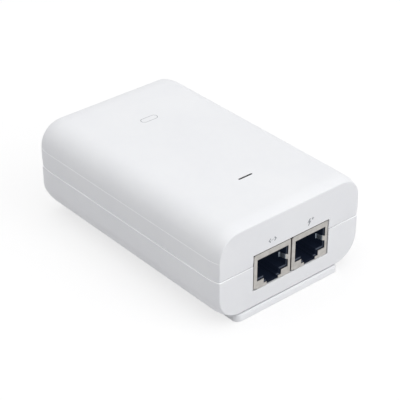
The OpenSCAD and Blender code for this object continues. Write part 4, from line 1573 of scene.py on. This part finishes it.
class Kind(Enum):
    """The kinds of node in use."""

    ATTRIBUTE = "ShaderNodeAttribute"
    BACKGROUND = "ShaderNodeBackground"
    BUMP = "ShaderNodeBump"
    CHECKER = "ShaderNodeTexChecker"
    COORDINATES = "ShaderNodeTexCoord"
    EMISSION = "ShaderNodeEmission"
    LIGHT_PATH = "ShaderNodeLightPath"
    MAPPING = "ShaderNodeMapping"
    MATH = "ShaderNodeMath"
    MIX = "ShaderNodeMixRGB"
    MIX_SHADER = "ShaderNodeMixShader"
    NOISE = "ShaderNodeTexNoise"
    OUTPUT = "ShaderNodeOutputMaterial"
    RANGE = "ShaderNodeMapRange"  # value, from low, from high, to low, to high
    SEPARATE = "ShaderNodeSeparateXYZ"
    SHADER = "ShaderNodeBsdfPrincipled"
    VORONOI = "ShaderNodeTexVoronoi"
    WAVE = "ShaderNodeTexWave"
    WORLD_OUTPUT = "ShaderNodeOutputWorld"


class Graph:
    """A node tree that is emptied and built again."""

    def __init__(self, tree: bpy.types.NodeTree) -> None:
        """Takes over a tree and empties it."""
        self.tree = tree
        self.tree.nodes.clear()

    def add(self, kind: Kind, *values: Any, settings: Mapping[str, Any] | None = None,
            **inputs: Any) -> bpy.types.Node:
        """Adds a node with its settings and links.

        Args:
            kind: the node's kind.
            *values: values of its first sockets, or the outputs linked to them, or nodes whose first
                output is.
            settings: properties of the node.
            **inputs: the same as values for sockets by name; _ stands for a space.

        Returns:
            The node.
        """
        node = self.tree.nodes.new(kind.value)
        for key, value in (settings or {}).items():
            setattr(node, key, value)
        sockets = [*enumerate(values), *((key.replace("_", " "), value) for key, value in inputs.items())]
        for key, value in sockets:
            source = value.outputs[0] if isinstance(value, bpy.types.Node) else value
            if isinstance(source, bpy.types.NodeSocket):
                self.tree.links.new(source, node.inputs[key])
            else:
                node.inputs[key].default_value = source
        return node

    def painted_light(self, colour: bpy.types.Node, edge: str) -> bpy.types.Node:
        """That colour, with another sRGB colour painted on the marked faces as highlight or shade."""
        mark = self.add(Kind.ATTRIBUTE, settings={"attribute_name": PAINTED_LIGHT_MARK}).outputs["Fac"]
        return self.add(Kind.MIX, mark, colour, linear(edge))

    def seen(self) -> bpy.types.Node:
        """Tells what is seen from what only lights.

        Returns:
            1 for what is seen straight, in a reflection or through glass, and 0 for the rest.
        """
        path = self.add(Kind.LIGHT_PATH).outputs
        greater = {"operation": "MAXIMUM"}
        indirect = self.add(Kind.MATH, path["Is Glossy Ray"], path["Is Transmission Ray"], settings=greater)
        return self.add(Kind.MATH, path["Is Camera Ray"], indirect, settings=greater)


class Finish:
    """What a surface is made of; each kind has its own way to build its nodes."""

    def dress(self, g: Graph, place: bpy.types.NodeSocket) -> bpy.types.Node:
        """Builds the nodes.

        Args:
            g: the material's node tree.
            place: Object coordinates, in metres.

        Returns:
            The shader.
        """
        raise NotImplementedError

    def build(self, name: str) -> bpy.types.Material:
        """Makes the material.

        Args:
            name: its name.

        Returns:
            The material.
        """
        material = bpy.data.materials.new(name)
        material.use_nodes = True
        g = Graph(material.node_tree)
        g.add(Kind.OUTPUT, self.dress(g, g.add(Kind.COORDINATES).outputs["Object"]))
        return material


@dataclass(frozen=True)
class MouldedPlastic(Finish):
    """Injection-moulded plastic: a fine spark-eroded grain, and a faint cloudiness in the colour.

    The grain keeps highlights soft. The real one is about 0.1 mm wide, too fine to show, so it is
    drawn wider. Clouds, flow marks and the swell that shrinking leaves keep a large face from
    looking flat, and patches of it are a little more or less matt.

    Attributes:
        colour: its sRGB colour.
        shade: the slightly darker colour of its clouds.
        roughness: how matt it is.
        grain_mm: width of the grain.
        grain_depth: height of the grain in mm.
        gloss: strength of its reflections.
        edge: the sRGB colour of its painted highlights, on the faces marked for them.
        scatter: share of its colour that it gives off as a painted glow, which lightens the shade even in a
            deep hollow.
        cloud_mm: width of the clouds.
        flow_mm: width of the flow marks.
        flow: their share of the clouds' strength.
        swell_mm: width of the swell.
        swell_depth: its height in mm.
        patch_mm: width of the patches that differ in gloss.
        patches: how far their roughness differs.
        tones: sums of clouds and flow marks that give the shade and the full colour.
        ior: the usual index of refraction of plastics.
    """

    colour: str
    shade: str
    roughness: float = 0.5
    grain_mm: float = 0.35
    grain_depth: float = 0.004
    gloss: float = 0.45
    edge: str = ""
    scatter: float = 0.0
    cloud_mm: float = 22.0
    flow_mm: float = 3.0
    flow: float = 0.35
    swell_mm: float = 9.0
    swell_depth: float = 0.006
    patch_mm: float = 1.6
    patches: float = 0.05
    tones: Pair = (0.4, 0.95)
    ior: float = 1.5

    def dress(self, g: Graph, place: bpy.types.NodeSocket) -> bpy.types.Node:
        """Builds the nodes.

        Args:
            g: the material's node tree.
            place: Object coordinates, in metres.

        Returns:
            The shader.
        """
        clouds = g.add(Kind.NOISE, Vector=place, Scale=per_metre(self.cloud_mm))
        flow = g.add(Kind.NOISE, Vector=place, Scale=per_metre(self.flow_mm), Detail=3.0)
        tone = g.add(Kind.MATH, flow, self.flow, clouds, settings={"operation": "MULTIPLY_ADD"})
        colour = g.add(Kind.MIX, g.add(Kind.RANGE, tone, *self.tones, 0, 1), linear(self.shade),
                       linear(self.colour))
        # Marked faces take the edge colour as a painted highlight.
        if self.edge:
            colour = g.painted_light(colour, self.edge)
        swell = g.add(Kind.NOISE, Vector=place, Scale=per_metre(self.swell_mm), Detail=1.0)
        grain = g.add(Kind.NOISE, Vector=place, Scale=per_metre(self.grain_mm), Roughness=0.6)
        normal = g.add(Kind.BUMP, Height=swell, Distance=self.swell_depth * MM)
        normal = g.add(Kind.BUMP, Height=grain, Distance=self.grain_depth * MM, Normal=normal)
        patches = g.add(Kind.NOISE, Vector=place, Scale=per_metre(self.patch_mm), Detail=4.0)
        rough = g.add(Kind.RANGE, patches, *USUAL, self.roughness - self.patches,
                      self.roughness + self.patches)
        # The emission is a painted glow that lightens the shade in deep hollows.
        return g.add(Kind.SHADER, colour, Roughness=rough, Normal=normal, IOR=self.ior,
                     Specular_IOR_Level=self.gloss, Emission_Color=linear(self.colour),
                     Emission_Strength=self.scatter)


@dataclass(frozen=True)
class SheetMetal(Finish):
    """Rolled or drawn and plated metal: fine lines along it, dull spots and a slight waviness.

    The lines stretch highlights across them. Real ones are about 0.02 mm apart, so they are drawn
    coarser.

    Attributes:
        colour: its sRGB colour.
        dull: the colour of the duller spots.
        roughness: how blurred its reflections are.
        line_mm: spacing of the lines.
        along: the axis that the lines run along.
        painted_shade: the darker, cooler sRGB colour painted as shade on the marked faces.
        slimness: the lines' spacing over their length.
        line_depth: height of the lines in mm.
        spot_mm: width of the dull spots.
        wave_mm: width of the sheet's waviness.
        wave_depth: its height in mm.
        spread: how far the roughness varies from line to line.
    """

    colour: str
    dull: str
    roughness: float = 0.35
    line_mm: float = 0.12
    along: Axis = Axis.Z
    painted_shade: str = ""
    slimness: float = 0.03
    line_depth: float = 0.0012
    spot_mm: float = 1.8
    wave_mm: float = 5.0
    wave_depth: float = 0.01
    spread: Pair = (-0.08, 0.12)

    def dress(self, g: Graph, place: bpy.types.NodeSocket) -> bpy.types.Node:
        """Builds the nodes.

        Args:
            g: the material's node tree.
            place: Object coordinates, in metres.

        Returns:
            The shader.
        """
        scale = [self.slimness if axis is self.along else 1.0 for axis in Axis]
        stretched = g.add(Kind.MAPPING, Vector=place, Scale=scale)
        lines = g.add(Kind.NOISE, Vector=stretched, Scale=per_metre(self.line_mm), Detail=3.0,
                      Roughness=0.65)
        spots = g.add(Kind.NOISE, Vector=place, Scale=per_metre(self.spot_mm), Detail=5.0)
        colour = g.add(Kind.MIX, g.add(Kind.RANGE, spots, *USUAL, 0, 1), linear(self.dull),
                       linear(self.colour))
        # Marked faces take a darker, cooler colour as painted shade.
        if self.painted_shade:
            colour = g.painted_light(colour, self.painted_shade)
        wave = g.add(Kind.NOISE, Vector=place, Scale=per_metre(self.wave_mm), Detail=1.0)
        normal = g.add(Kind.BUMP, Height=wave, Distance=self.wave_depth * MM)
        normal = g.add(Kind.BUMP, Height=lines, Distance=self.line_depth * MM, Normal=normal)
        rough = g.add(Kind.RANGE, lines, *USUAL, *(self.roughness + by for by in self.spread))
        return g.add(Kind.SHADER, colour, Roughness=rough, Normal=normal, Metallic=1.0)


@dataclass(frozen=True)
class Coating(Finish):
    """A dipped or sprayed coat on a small part: thick, slightly uneven and shiny.

    Attributes:
        colour: its sRGB colour.
        shade: the colour where the coat is thick.
        roughness: how matt it is.
        wave_mm: size of the coat's unevenness; a finer one is an eighth as wide.
        coat: strength of the clear layer.
        wave_depth: height of the unevenness in mm.
        fine_depth: height of the finer one.
        coat_roughness: how blurred the clear layer's reflections are.
        spread: how far the roughness varies.
    """

    colour: str
    shade: str
    roughness: float = 0.35
    wave_mm: float = 2.5
    coat: float = 0.3
    wave_depth: float = 0.05
    fine_depth: float = 0.006
    coat_roughness: float = 0.15
    spread: Pair = (-0.06, 0.08)

    def dress(self, g: Graph, place: bpy.types.NodeSocket) -> bpy.types.Node:
        """Builds the nodes.

        Args:
            g: the material's node tree.
            place: Object coordinates, in metres.

        Returns:
            The shader.
        """
        wave = g.add(Kind.NOISE, Vector=place, Scale=per_metre(self.wave_mm), Detail=3.0)
        fine = g.add(Kind.NOISE, Vector=place, Scale=per_metre(self.wave_mm / 8))
        colour = g.add(Kind.MIX, g.add(Kind.RANGE, wave, *USUAL, 0, 1), linear(self.shade),
                       linear(self.colour))
        normal = g.add(Kind.BUMP, Height=wave, Distance=self.wave_depth * MM)
        normal = g.add(Kind.BUMP, Height=fine, Distance=self.fine_depth * MM, Normal=normal)
        rough = g.add(Kind.RANGE, fine, *USUAL, *(self.roughness + by for by in self.spread))
        return g.add(Kind.SHADER, colour, Roughness=rough, Normal=normal, Coat_Weight=self.coat,
                     Coat_Roughness=self.coat_roughness)


@dataclass(frozen=True)
class Speckled(Finish):
    """A pressed or fired body, such as ferrite, ceramic or epoxy with filler: matt with small specks.

    Real filler is finer than 0.1 mm, so the specks are drawn coarser.

    Attributes:
        colour: its sRGB colour.
        speck: the colour of the specks.
        roughness: how matt it is.
        speck_mm: their spacing; patches that differ in gloss are five times as wide.
        speck_depth: their height in mm.
        speck_edge: where a speck's edge starts and ends, as shares of the spacing.
        spread: how far the roughness varies.
        gloss: strength of its reflections.
    """

    colour: str
    speck: str
    roughness: float = 0.6
    speck_mm: float = 0.25
    speck_depth: float = 0.01
    speck_edge: Pair = (0.1, 0.35)
    spread: Pair = (-0.07, 0.07)
    gloss: float = 0.4

    def dress(self, g: Graph, place: bpy.types.NodeSocket) -> bpy.types.Node:
        """Builds the nodes.

        Args:
            g: the material's node tree.
            place: Object coordinates, in metres.

        Returns:
            The shader.
        """
        distance = g.add(Kind.VORONOI, Vector=place, Scale=per_metre(self.speck_mm))
        colour = g.add(Kind.MIX, g.add(Kind.RANGE, distance, *self.speck_edge, 1, 0), linear(self.colour),
                       linear(self.speck))
        patches = g.add(Kind.NOISE, Vector=place, Scale=per_metre(self.speck_mm * 5), Detail=3.0)
        rough = g.add(Kind.RANGE, patches, *USUAL, *(self.roughness + by for by in self.spread))
        normal = g.add(Kind.BUMP, Height=distance, Distance=self.speck_depth * MM)
        return g.add(Kind.SHADER, colour, Roughness=rough, Normal=normal,
                     Specular_IOR_Level=self.gloss)


@dataclass(frozen=True)
class WoundWire(Finish):
    """Enamelled wire in close turns, one above another: round ridges, with painted shade in the grooves
    between them.

    Attributes:
        colour: the enamel's sRGB colour.
        gap: the darker colour painted as shade between turns.
        wire_mm: the wire's diameter; a ridge is a third of it high.
        edge: where a turn's full colour starts, out of the painted shade between turns.
        roughness: least and greatest roughness of the enamel.
        patch_mm: width of the patches that differ in roughness.
        metallic: how far the copper shows through the enamel.
        coat: strength of the enamel's clear layer.
    """

    colour: str
    gap: str
    wire_mm: float = 0.5
    edge: Pair = (0.05, 0.5)
    roughness: Pair = (0.22, 0.36)
    patch_mm: float = 0.6
    metallic: float = 0.75
    coat: float = 0.4

    def dress(self, g: Graph, place: bpy.types.NodeSocket) -> bpy.types.Node:
        """Builds the nodes. Bands repeat every pi / 10 of a scaled metre, and half a band is one turn.

        Args:
            g: the material's node tree.
            place: Object coordinates, in metres.

        Returns:
            The shader.
        """
        scale = per_metre(self.wire_mm) * math.pi / 10 / 2
        ridge = g.add(Kind.WAVE, settings={"bands_direction": "Z"},
                      Vector=place, Scale=scale, Distortion=0.6, Detail=1.0, Detail_Scale=0.3).outputs["Fac"]
        # The gap colour is painted shade in the grooves between turns.
        colour = g.add(Kind.MIX, g.add(Kind.RANGE, ridge, *self.edge, 0, 1), linear(self.gap),
                       linear(self.colour))
        patches = g.add(Kind.NOISE, Vector=place, Scale=per_metre(self.patch_mm))
        rough = g.add(Kind.RANGE, patches, *USUAL, *self.roughness)
        normal = g.add(Kind.BUMP, Height=ridge, Distance=self.wire_mm / 3 * MM)
        return g.add(Kind.SHADER, colour, Roughness=rough, Normal=normal,
                     Metallic=self.metallic, Coat_Weight=self.coat)


@dataclass(frozen=True)
class Laminate(Finish):
    """A circuit board: green solder mask over glass weave, with raised tracks under the mask.

    Attributes:
        mask: colour of the mask on bare laminate.
        track: its colour over copper.
        track_mm: spacing of the tracks.
        track_depth: how far they stand up, in mm.
        weave_mm: width of the weave's threads.
        weave_depth: height of the weave in mm.
        track_edge: where a track's edge starts and ends, as shares of the spacing.
        scatter: how far the tracks stray from even rows, 0 to 1.
        roughness: least and greatest roughness of the mask.
        patch_mm: width of the patches that differ in roughness.
        coat: strength of the mask's clear surface.
    """

    mask: str
    track: str
    track_mm: float = 3.0
    track_depth: float = 0.03
    weave_mm: float = 0.4
    weave_depth: float = 0.003
    track_edge: Pair = (0.38, 0.46)
    scatter: float = 0.7
    roughness: Pair = (0.3, 0.42)
    patch_mm: float = 0.8
    coat: float = 0.3

    def dress(self, g: Graph, place: bpy.types.NodeSocket) -> bpy.types.Node:
        """Builds the nodes.

        Args:
            g: the material's node tree.
            place: Object coordinates, in metres.

        Returns:
            The shader.
        """
        cells = g.add(Kind.VORONOI, settings={"distance": "MANHATTAN"}, Vector=place,
                      Scale=per_metre(self.track_mm), Randomness=self.scatter)
        bare = g.add(Kind.RANGE, cells, *self.track_edge, 0, 1)
        weave = g.add(Kind.CHECKER, Vector=place, Scale=per_metre(self.weave_mm)).outputs["Fac"]
        normal = g.add(Kind.BUMP, Height=weave, Distance=self.weave_depth * MM)
        normal = g.add(Kind.BUMP, Height=bare, Distance=-self.track_depth * MM, Normal=normal)
        patches = g.add(Kind.NOISE, Vector=place, Scale=per_metre(self.patch_mm), Detail=3.0)
        rough = g.add(Kind.RANGE, patches, *USUAL, *self.roughness)
        return g.add(Kind.SHADER, g.add(Kind.MIX, bare, linear(self.track), linear(self.mask)),
                     Roughness=rough, Normal=normal, Coat_Weight=self.coat)


@dataclass(frozen=True)
class Paper(Finish):
    """The floor's white paper, with the shadow on it lightened, as on a table lit from below.

    Attributes:
        colour: its sRGB colour.
        shade: the colour of its faint clouds.
        thrown: the greyer colour of the light it throws back onto the object.
        lit: the share of plain white in what is seen.
        cloud_mm: width of the clouds.
        fibre_mm: length of its fibres.
        fibre_depth: their height in mm.
        roughness: least and greatest roughness of the paper.
    """

    colour: str
    shade: str
    thrown: str = "#d8d8da"
    lit: float = 0.7
    cloud_mm: float = 40.0
    fibre_mm: float = 0.9
    fibre_depth: float = 0.002
    roughness: Pair = (0.85, 0.95)

    def dress(self, g: Graph, place: bpy.types.NodeSocket) -> bpy.types.Node:
        """Builds the nodes.

        Args:
            g: the material's node tree.
            place: Object coordinates, in metres.

        Returns:
            The shader.
        """
        clouds = g.add(Kind.NOISE, Vector=place, Scale=per_metre(self.cloud_mm))
        paper = g.add(Kind.MIX, g.add(Kind.RANGE, clouds, *USUAL, 0, 1), linear(self.shade),
                      linear(self.colour))
        fibre = g.add(Kind.NOISE, Vector=place, Scale=per_metre(self.fibre_mm))
        rough = g.add(Kind.RANGE, fibre, *USUAL, *self.roughness)
        normal = g.add(Kind.BUMP, Height=fibre, Distance=self.fibre_depth * MM)
        seen = g.seen()
        shader = g.add(Kind.SHADER, g.add(Kind.MIX, seen, linear(self.thrown), paper), Roughness=rough,
                       Normal=normal)
        white = g.add(Kind.EMISSION, linear("#ffffff"), 1.0)
        share = g.add(Kind.MATH, seen, self.lit, settings={"operation": "MULTIPLY"})
        return g.add(Kind.MIX_SHADER, share, shader, white)


FINISHES: Mapping[str, Finish] = {
    # Fine-textured white polycarbonate blend, near neutral and very slightly cool; its edge colour is a
    # painted highlight.
    "white_shell": MouldedPlastic("#dedfe1", "#dadbde", 0.48, 0.3, 0.003, edge="#f6f7f9"),
    # The bracket's plastic is the same with a smoother, slightly glossier face.
    "white_bracket": MouldedPlastic("#e6e7e9", "#e2e3e6", 0.42, 0.4, 0.002),
    # Smoked clear plastic over the light: dark grey and smooth.
    "smoked_lens": MouldedPlastic("#111315", "#0e0f11", 0.35, 0.8, 0.001, 0.1),
    # Tin-plated steel sheet: warm grey with dull rolling lines, and a painted shade on the finger deep in
    # the socket.
    "tin_shield": SheetMetal("#c2bfbb", "#b0ada9", 0.4, 0.1, Axis.X, "#88919b"),
    # Blue-black plastic of the sockets: a faint painted glow lifts the shade in its deep hollows, and its
    # lead-ins take a pale painted highlight.
    "socket_plastic": MouldedPlastic("#0e131e", "#0c101a", 0.55, 0.25, 0.002, 0.04, "#474c55", 0.7),
    # Glass-filled black plastic of the inlet and of the carriers behind the sockets: a soft grey sheen.
    "black_housing": MouldedPlastic("#1a1c20", "#15171a", 0.42, 0.5, 0.004, 0.4),
    # Gold flash over the sprung wires: warm and bright, with drawing lines along them.
    "gold_contact": SheetMetal("#d9b25a", "#c49a45", 0.24, 0.05, Axis.Y),
    # Nickel-plated drawn brass pins: pale and bright, with fine lines along them.
    "nickel_pin": SheetMetal("#cfcfca", "#bdbdb8", 0.22, 0.08, Axis.Y),
    # Green solder mask, lighter over the copper tracks.
    "board_laminate": Laminate("#1c5a38", "#2f7a4b"),
    # Milky polyester film: pale, with soft highlights.
    "insulating_film": Coating("#d9d8ca", "#cfcdbd", 0.3, 6.0, 0.2),
    # Glazed ceramic tube of the fuse: creamy, with fine flecks.
    "ceramic_tube": Speckled("#d8cdb8", "#c9bda6", 0.45, 0.5),
    # Blue epoxy dip of the discs: glossy and slightly uneven.
    "blue_coating": Coating("#2f62b0", "#254f94", 0.3),
    # Dark green silicone dip of the thermistor and the choke's core: duller than epoxy.
    "green_coating": Coating("#2e4a38", "#24402e", 0.45),
    # Yellow moulded case of the filter capacitor: an even satin.
    "yellow_case": MouldedPlastic("#d8b53a", "#cba92f", 0.4, 0.5, 0.003),
    # Sintered ferrite, dull dark grey.
    "ferrite": Speckled("#38383a", "#4a4a4c", 0.55, 0.3),
    # Amber enamelled copper wire in close turns, with painted shade between them.
    "copper_wire": WoundWire("#b8682e", "#5a2c12", 0.6),
    # Moulded epoxy with fine filler: near black and matt.
    "black_epoxy": Speckled("#1b1b1d", "#29292b", 0.55, 0.15),
    # Shrunk dark sleeve of the capacitors: smooth and glossy.
    "dark_sleeve": Coating("#20283e", "#181f32", 0.28, 5.0, 0.4),
    # Extruded aluminium: a pale grey with lines along its length.
    "sink_aluminium": SheetMetal("#c6c8ca", "#b4b6b8", 0.36, 0.2, Axis.Y),
    # White moulded epoxy of the optocoupler: off-white and matt.
    "white_epoxy": Speckled("#e2e1dc", "#d2d1cb", 0.5, 0.2),
    # Clear-yellow lens of the small lamp: glossy.
    "led_lens": Coating("#e8e0a8", "#d8cf90", 0.15, 1.0, 0.6),
    # Barium titanate chips with a dull tan body.
    "chip_ceramic": Speckled("#a58a63", "#937850", 0.55, 0.12),
    # Grey pad-printing ink in the small signs: flat and matt.
    "ink": MouldedPlastic("#8f9297", "#878a8f", 0.55, 0.2, 0.002),
    # Pale matt paper that the injector stands on.
    "floor": Paper("#f4f4f4", "#f2f2f3"),
}


# ---------- camera and light ----------


def aim(thing: bpy.types.Object, direction: Vector) -> None:
    """Turns a camera or lamp and puts it into the scene.

    Args:
        thing: the camera or lamp.
        direction: where it looks.
    """
    thing.rotation_mode = "QUATERNION"
    thing.rotation_quaternion = direction.to_track_quat("-Z", "Y")
    bpy.context.scene.collection.objects.link(thing)


@dataclass(frozen=True)
class Viewpoint:
    """The camera: its direction, distance and focal length.

    Attributes:
        azimuth: degrees round z; 0 looks along +y.
        elevation: degrees above the horizon.
        distance: from the target, in mm.
        lens: focal length in mm.
        sensor: width of the sensor in mm.
        target: the point on the object's axis that it looks past.
        sideways: how far it stands to its right, in mm.
        clip: nearest and farthest that it sees, in metres.
    """

    azimuth: float = -40.39
    elevation: float = 32.2
    distance: float = 492.6
    lens: float = 128.394
    sensor: float = 36.0
    target: tuple[float, float, float] = (0.0, 0.0, 14.87)
    sideways: float = 1.48
    clip: Pair = (0.01, 20.0)

    def place(self) -> None:
        """Makes the camera and hands it to the scene."""
        a, e = math.radians(self.azimuth), math.radians(self.elevation)
        back = Vector((math.sin(a) * math.cos(e), -math.cos(a) * math.cos(e), math.sin(e)))
        right = Vector((math.cos(a), math.sin(a), 0.0))
        data = bpy.data.cameras.new("camera")
        data.lens, data.sensor_width = self.lens, self.sensor
        data.clip_start, data.clip_end = self.clip
        camera = bpy.data.objects.new("camera", data)
        camera.location = (Vector(self.target) + back * self.distance + right * self.sideways) * MM
        aim(camera, -back)
        bpy.context.scene.camera = camera


@dataclass(frozen=True)
class Softbox:
    """A square lamp that faces the object.

    Attributes:
        name: its name.
        at: its place in metres.
        size: its side in metres.
        power: its power in watts.
        target: the point that it faces, in metres.
    """

    name: str
    at: tuple[float, float, float]
    size: float
    power: float
    target: tuple[float, float, float] = (0.0, 0.0, 0.02)

    def place(self) -> None:
        """Makes the lamp."""
        data = bpy.data.lights.new(self.name, "AREA")
        data.shape, data.size, data.energy = "SQUARE", self.size, self.power
        lamp = bpy.data.objects.new(self.name, data)
        lamp.location = self.at
        aim(lamp, Vector(self.target) - Vector(self.at))


@dataclass(frozen=True)
class Studio:
    """The pale floor, the white surroundings and the lamps.

    Attributes:
        floor_radius: the floor's radius in metres.
        floor_centre: the radius of its middle face, as a share of that.
        floor_steps: number of segments round it.
        floor_z: its height in mm, just below the injector.
        horizon: strength of the light from the horizon.
        zenith: strength of the light from above.
        lamps: the lamps.
    """

    floor_radius: float = 4.0
    floor_centre: float = 0.04
    floor_steps: int = 96
    floor_z: float = -0.02
    horizon: float = 0.25
    zenith: float = 0.77
    lamps: tuple[Softbox, ...] = field(default_factory=lambda: (
        Softbox("overhead", (-0.22, -0.05, 1.3), 1.7, 10.8),
        Softbox("front_right", (0.6, -1.2, 0.8), 1.3, 10.7),
    ))

    def _floor(self, finish: bpy.types.Material) -> None:
        """A round flat sheet just below z = 0.

        Args:
            finish: its material.
        """
        reach = self.floor_radius / MM
        circles = [in_space(circle((0.0, 0.0), radius, self.floor_steps), self.floor_z)
                   for radius in (self.floor_centre * reach, reach)]
        mesh = Surface().grid(np.stack(circles), closed=True).cap(circles[0]).mesh("floor")
        mesh.materials.append(finish)
        if mesh.polygons[0].normal.z < 0:
            mesh.flip_normals()
        add_object("floor", mesh)

    def _sky(self) -> None:
        """Surroundings that are seen as plain white, and whose light grows towards the zenith."""
        world = bpy.data.worlds.new("surroundings")
        world.use_nodes = True
        g = Graph(world.node_tree)
        height = g.add(Kind.SEPARATE, g.add(Kind.COORDINATES).outputs["Generated"]).outputs["Z"]
        strength = g.add(Kind.RANGE, height, 0, 1, self.horizon, self.zenith)
        light = g.add(Kind.BACKGROUND, linear("#ffffff"), strength)
        white = g.add(Kind.BACKGROUND, linear("#ffffff"), 1.0)
        g.add(Kind.WORLD_OUTPUT, g.add(Kind.MIX_SHADER, g.seen(), light, white))
        bpy.context.scene.world = world

    def place(self, finish: bpy.types.Material) -> None:
        """Makes the floor, the surroundings and the lamps.

        Args:
            finish: the floor's material.
        """
        self._floor(finish)
        self._sky()
        for lamp in self.lamps:
            lamp.place()
        bpy.context.scene.view_settings.view_transform = "Standard"


# ---------- the whole ----------


@dataclass(frozen=True)
class Injector:
    """All visible pieces of the injector."""

    case: Case = Case()
    bracket: Bracket = Bracket()
    shields: tuple[SocketShield, ...] = (SocketShield(Side.LEFT, -7.83), SocketShield(Side.RIGHT, 8.76))
    housings: tuple[SocketHousing, ...] = (SocketHousing(Side.LEFT, -7.95),
                                           SocketHousing(Side.RIGHT, 8.65))

    def place(self, finishes: Mapping[str, bpy.types.Material]) -> None:
        """Makes the dressed pieces and gives the carried-over CAD nodes their finishes.

        Args:
            finishes: the materials by name.
        """
        for piece in (*self.case.pieces(), self.bracket.piece(),
                      *(part.piece() for part in (*self.shields, *self.housings))):
            piece.place(finishes)
            LOG.info("%s in %s, on %s", piece.name, piece.slot, piece.body)
        for part in frame["record"]["subparts"]:
            mesh = frame["nodes"][part["node"]].data
            mesh.materials.clear()
            mesh.materials.append(finishes[part["material_slot"]])


def corners(box: tuple[Vector, Vector]) -> list[list[float]]:
    """A box's two corners as plain numbers."""
    return [list(map(float, corner)) for corner in box]


def main() -> None:
    """Builds the scene."""
    logging.basicConfig(level=logging.INFO)
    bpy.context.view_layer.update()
    finishes = {name: finish.build(name) for name, finish in FINISHES.items()}
    Injector().place(finishes)
    Studio().place(finishes["floor"])
    Viewpoint().place()
    bpy.context.view_layer.update()


if __name__ == "__main__":
    main()
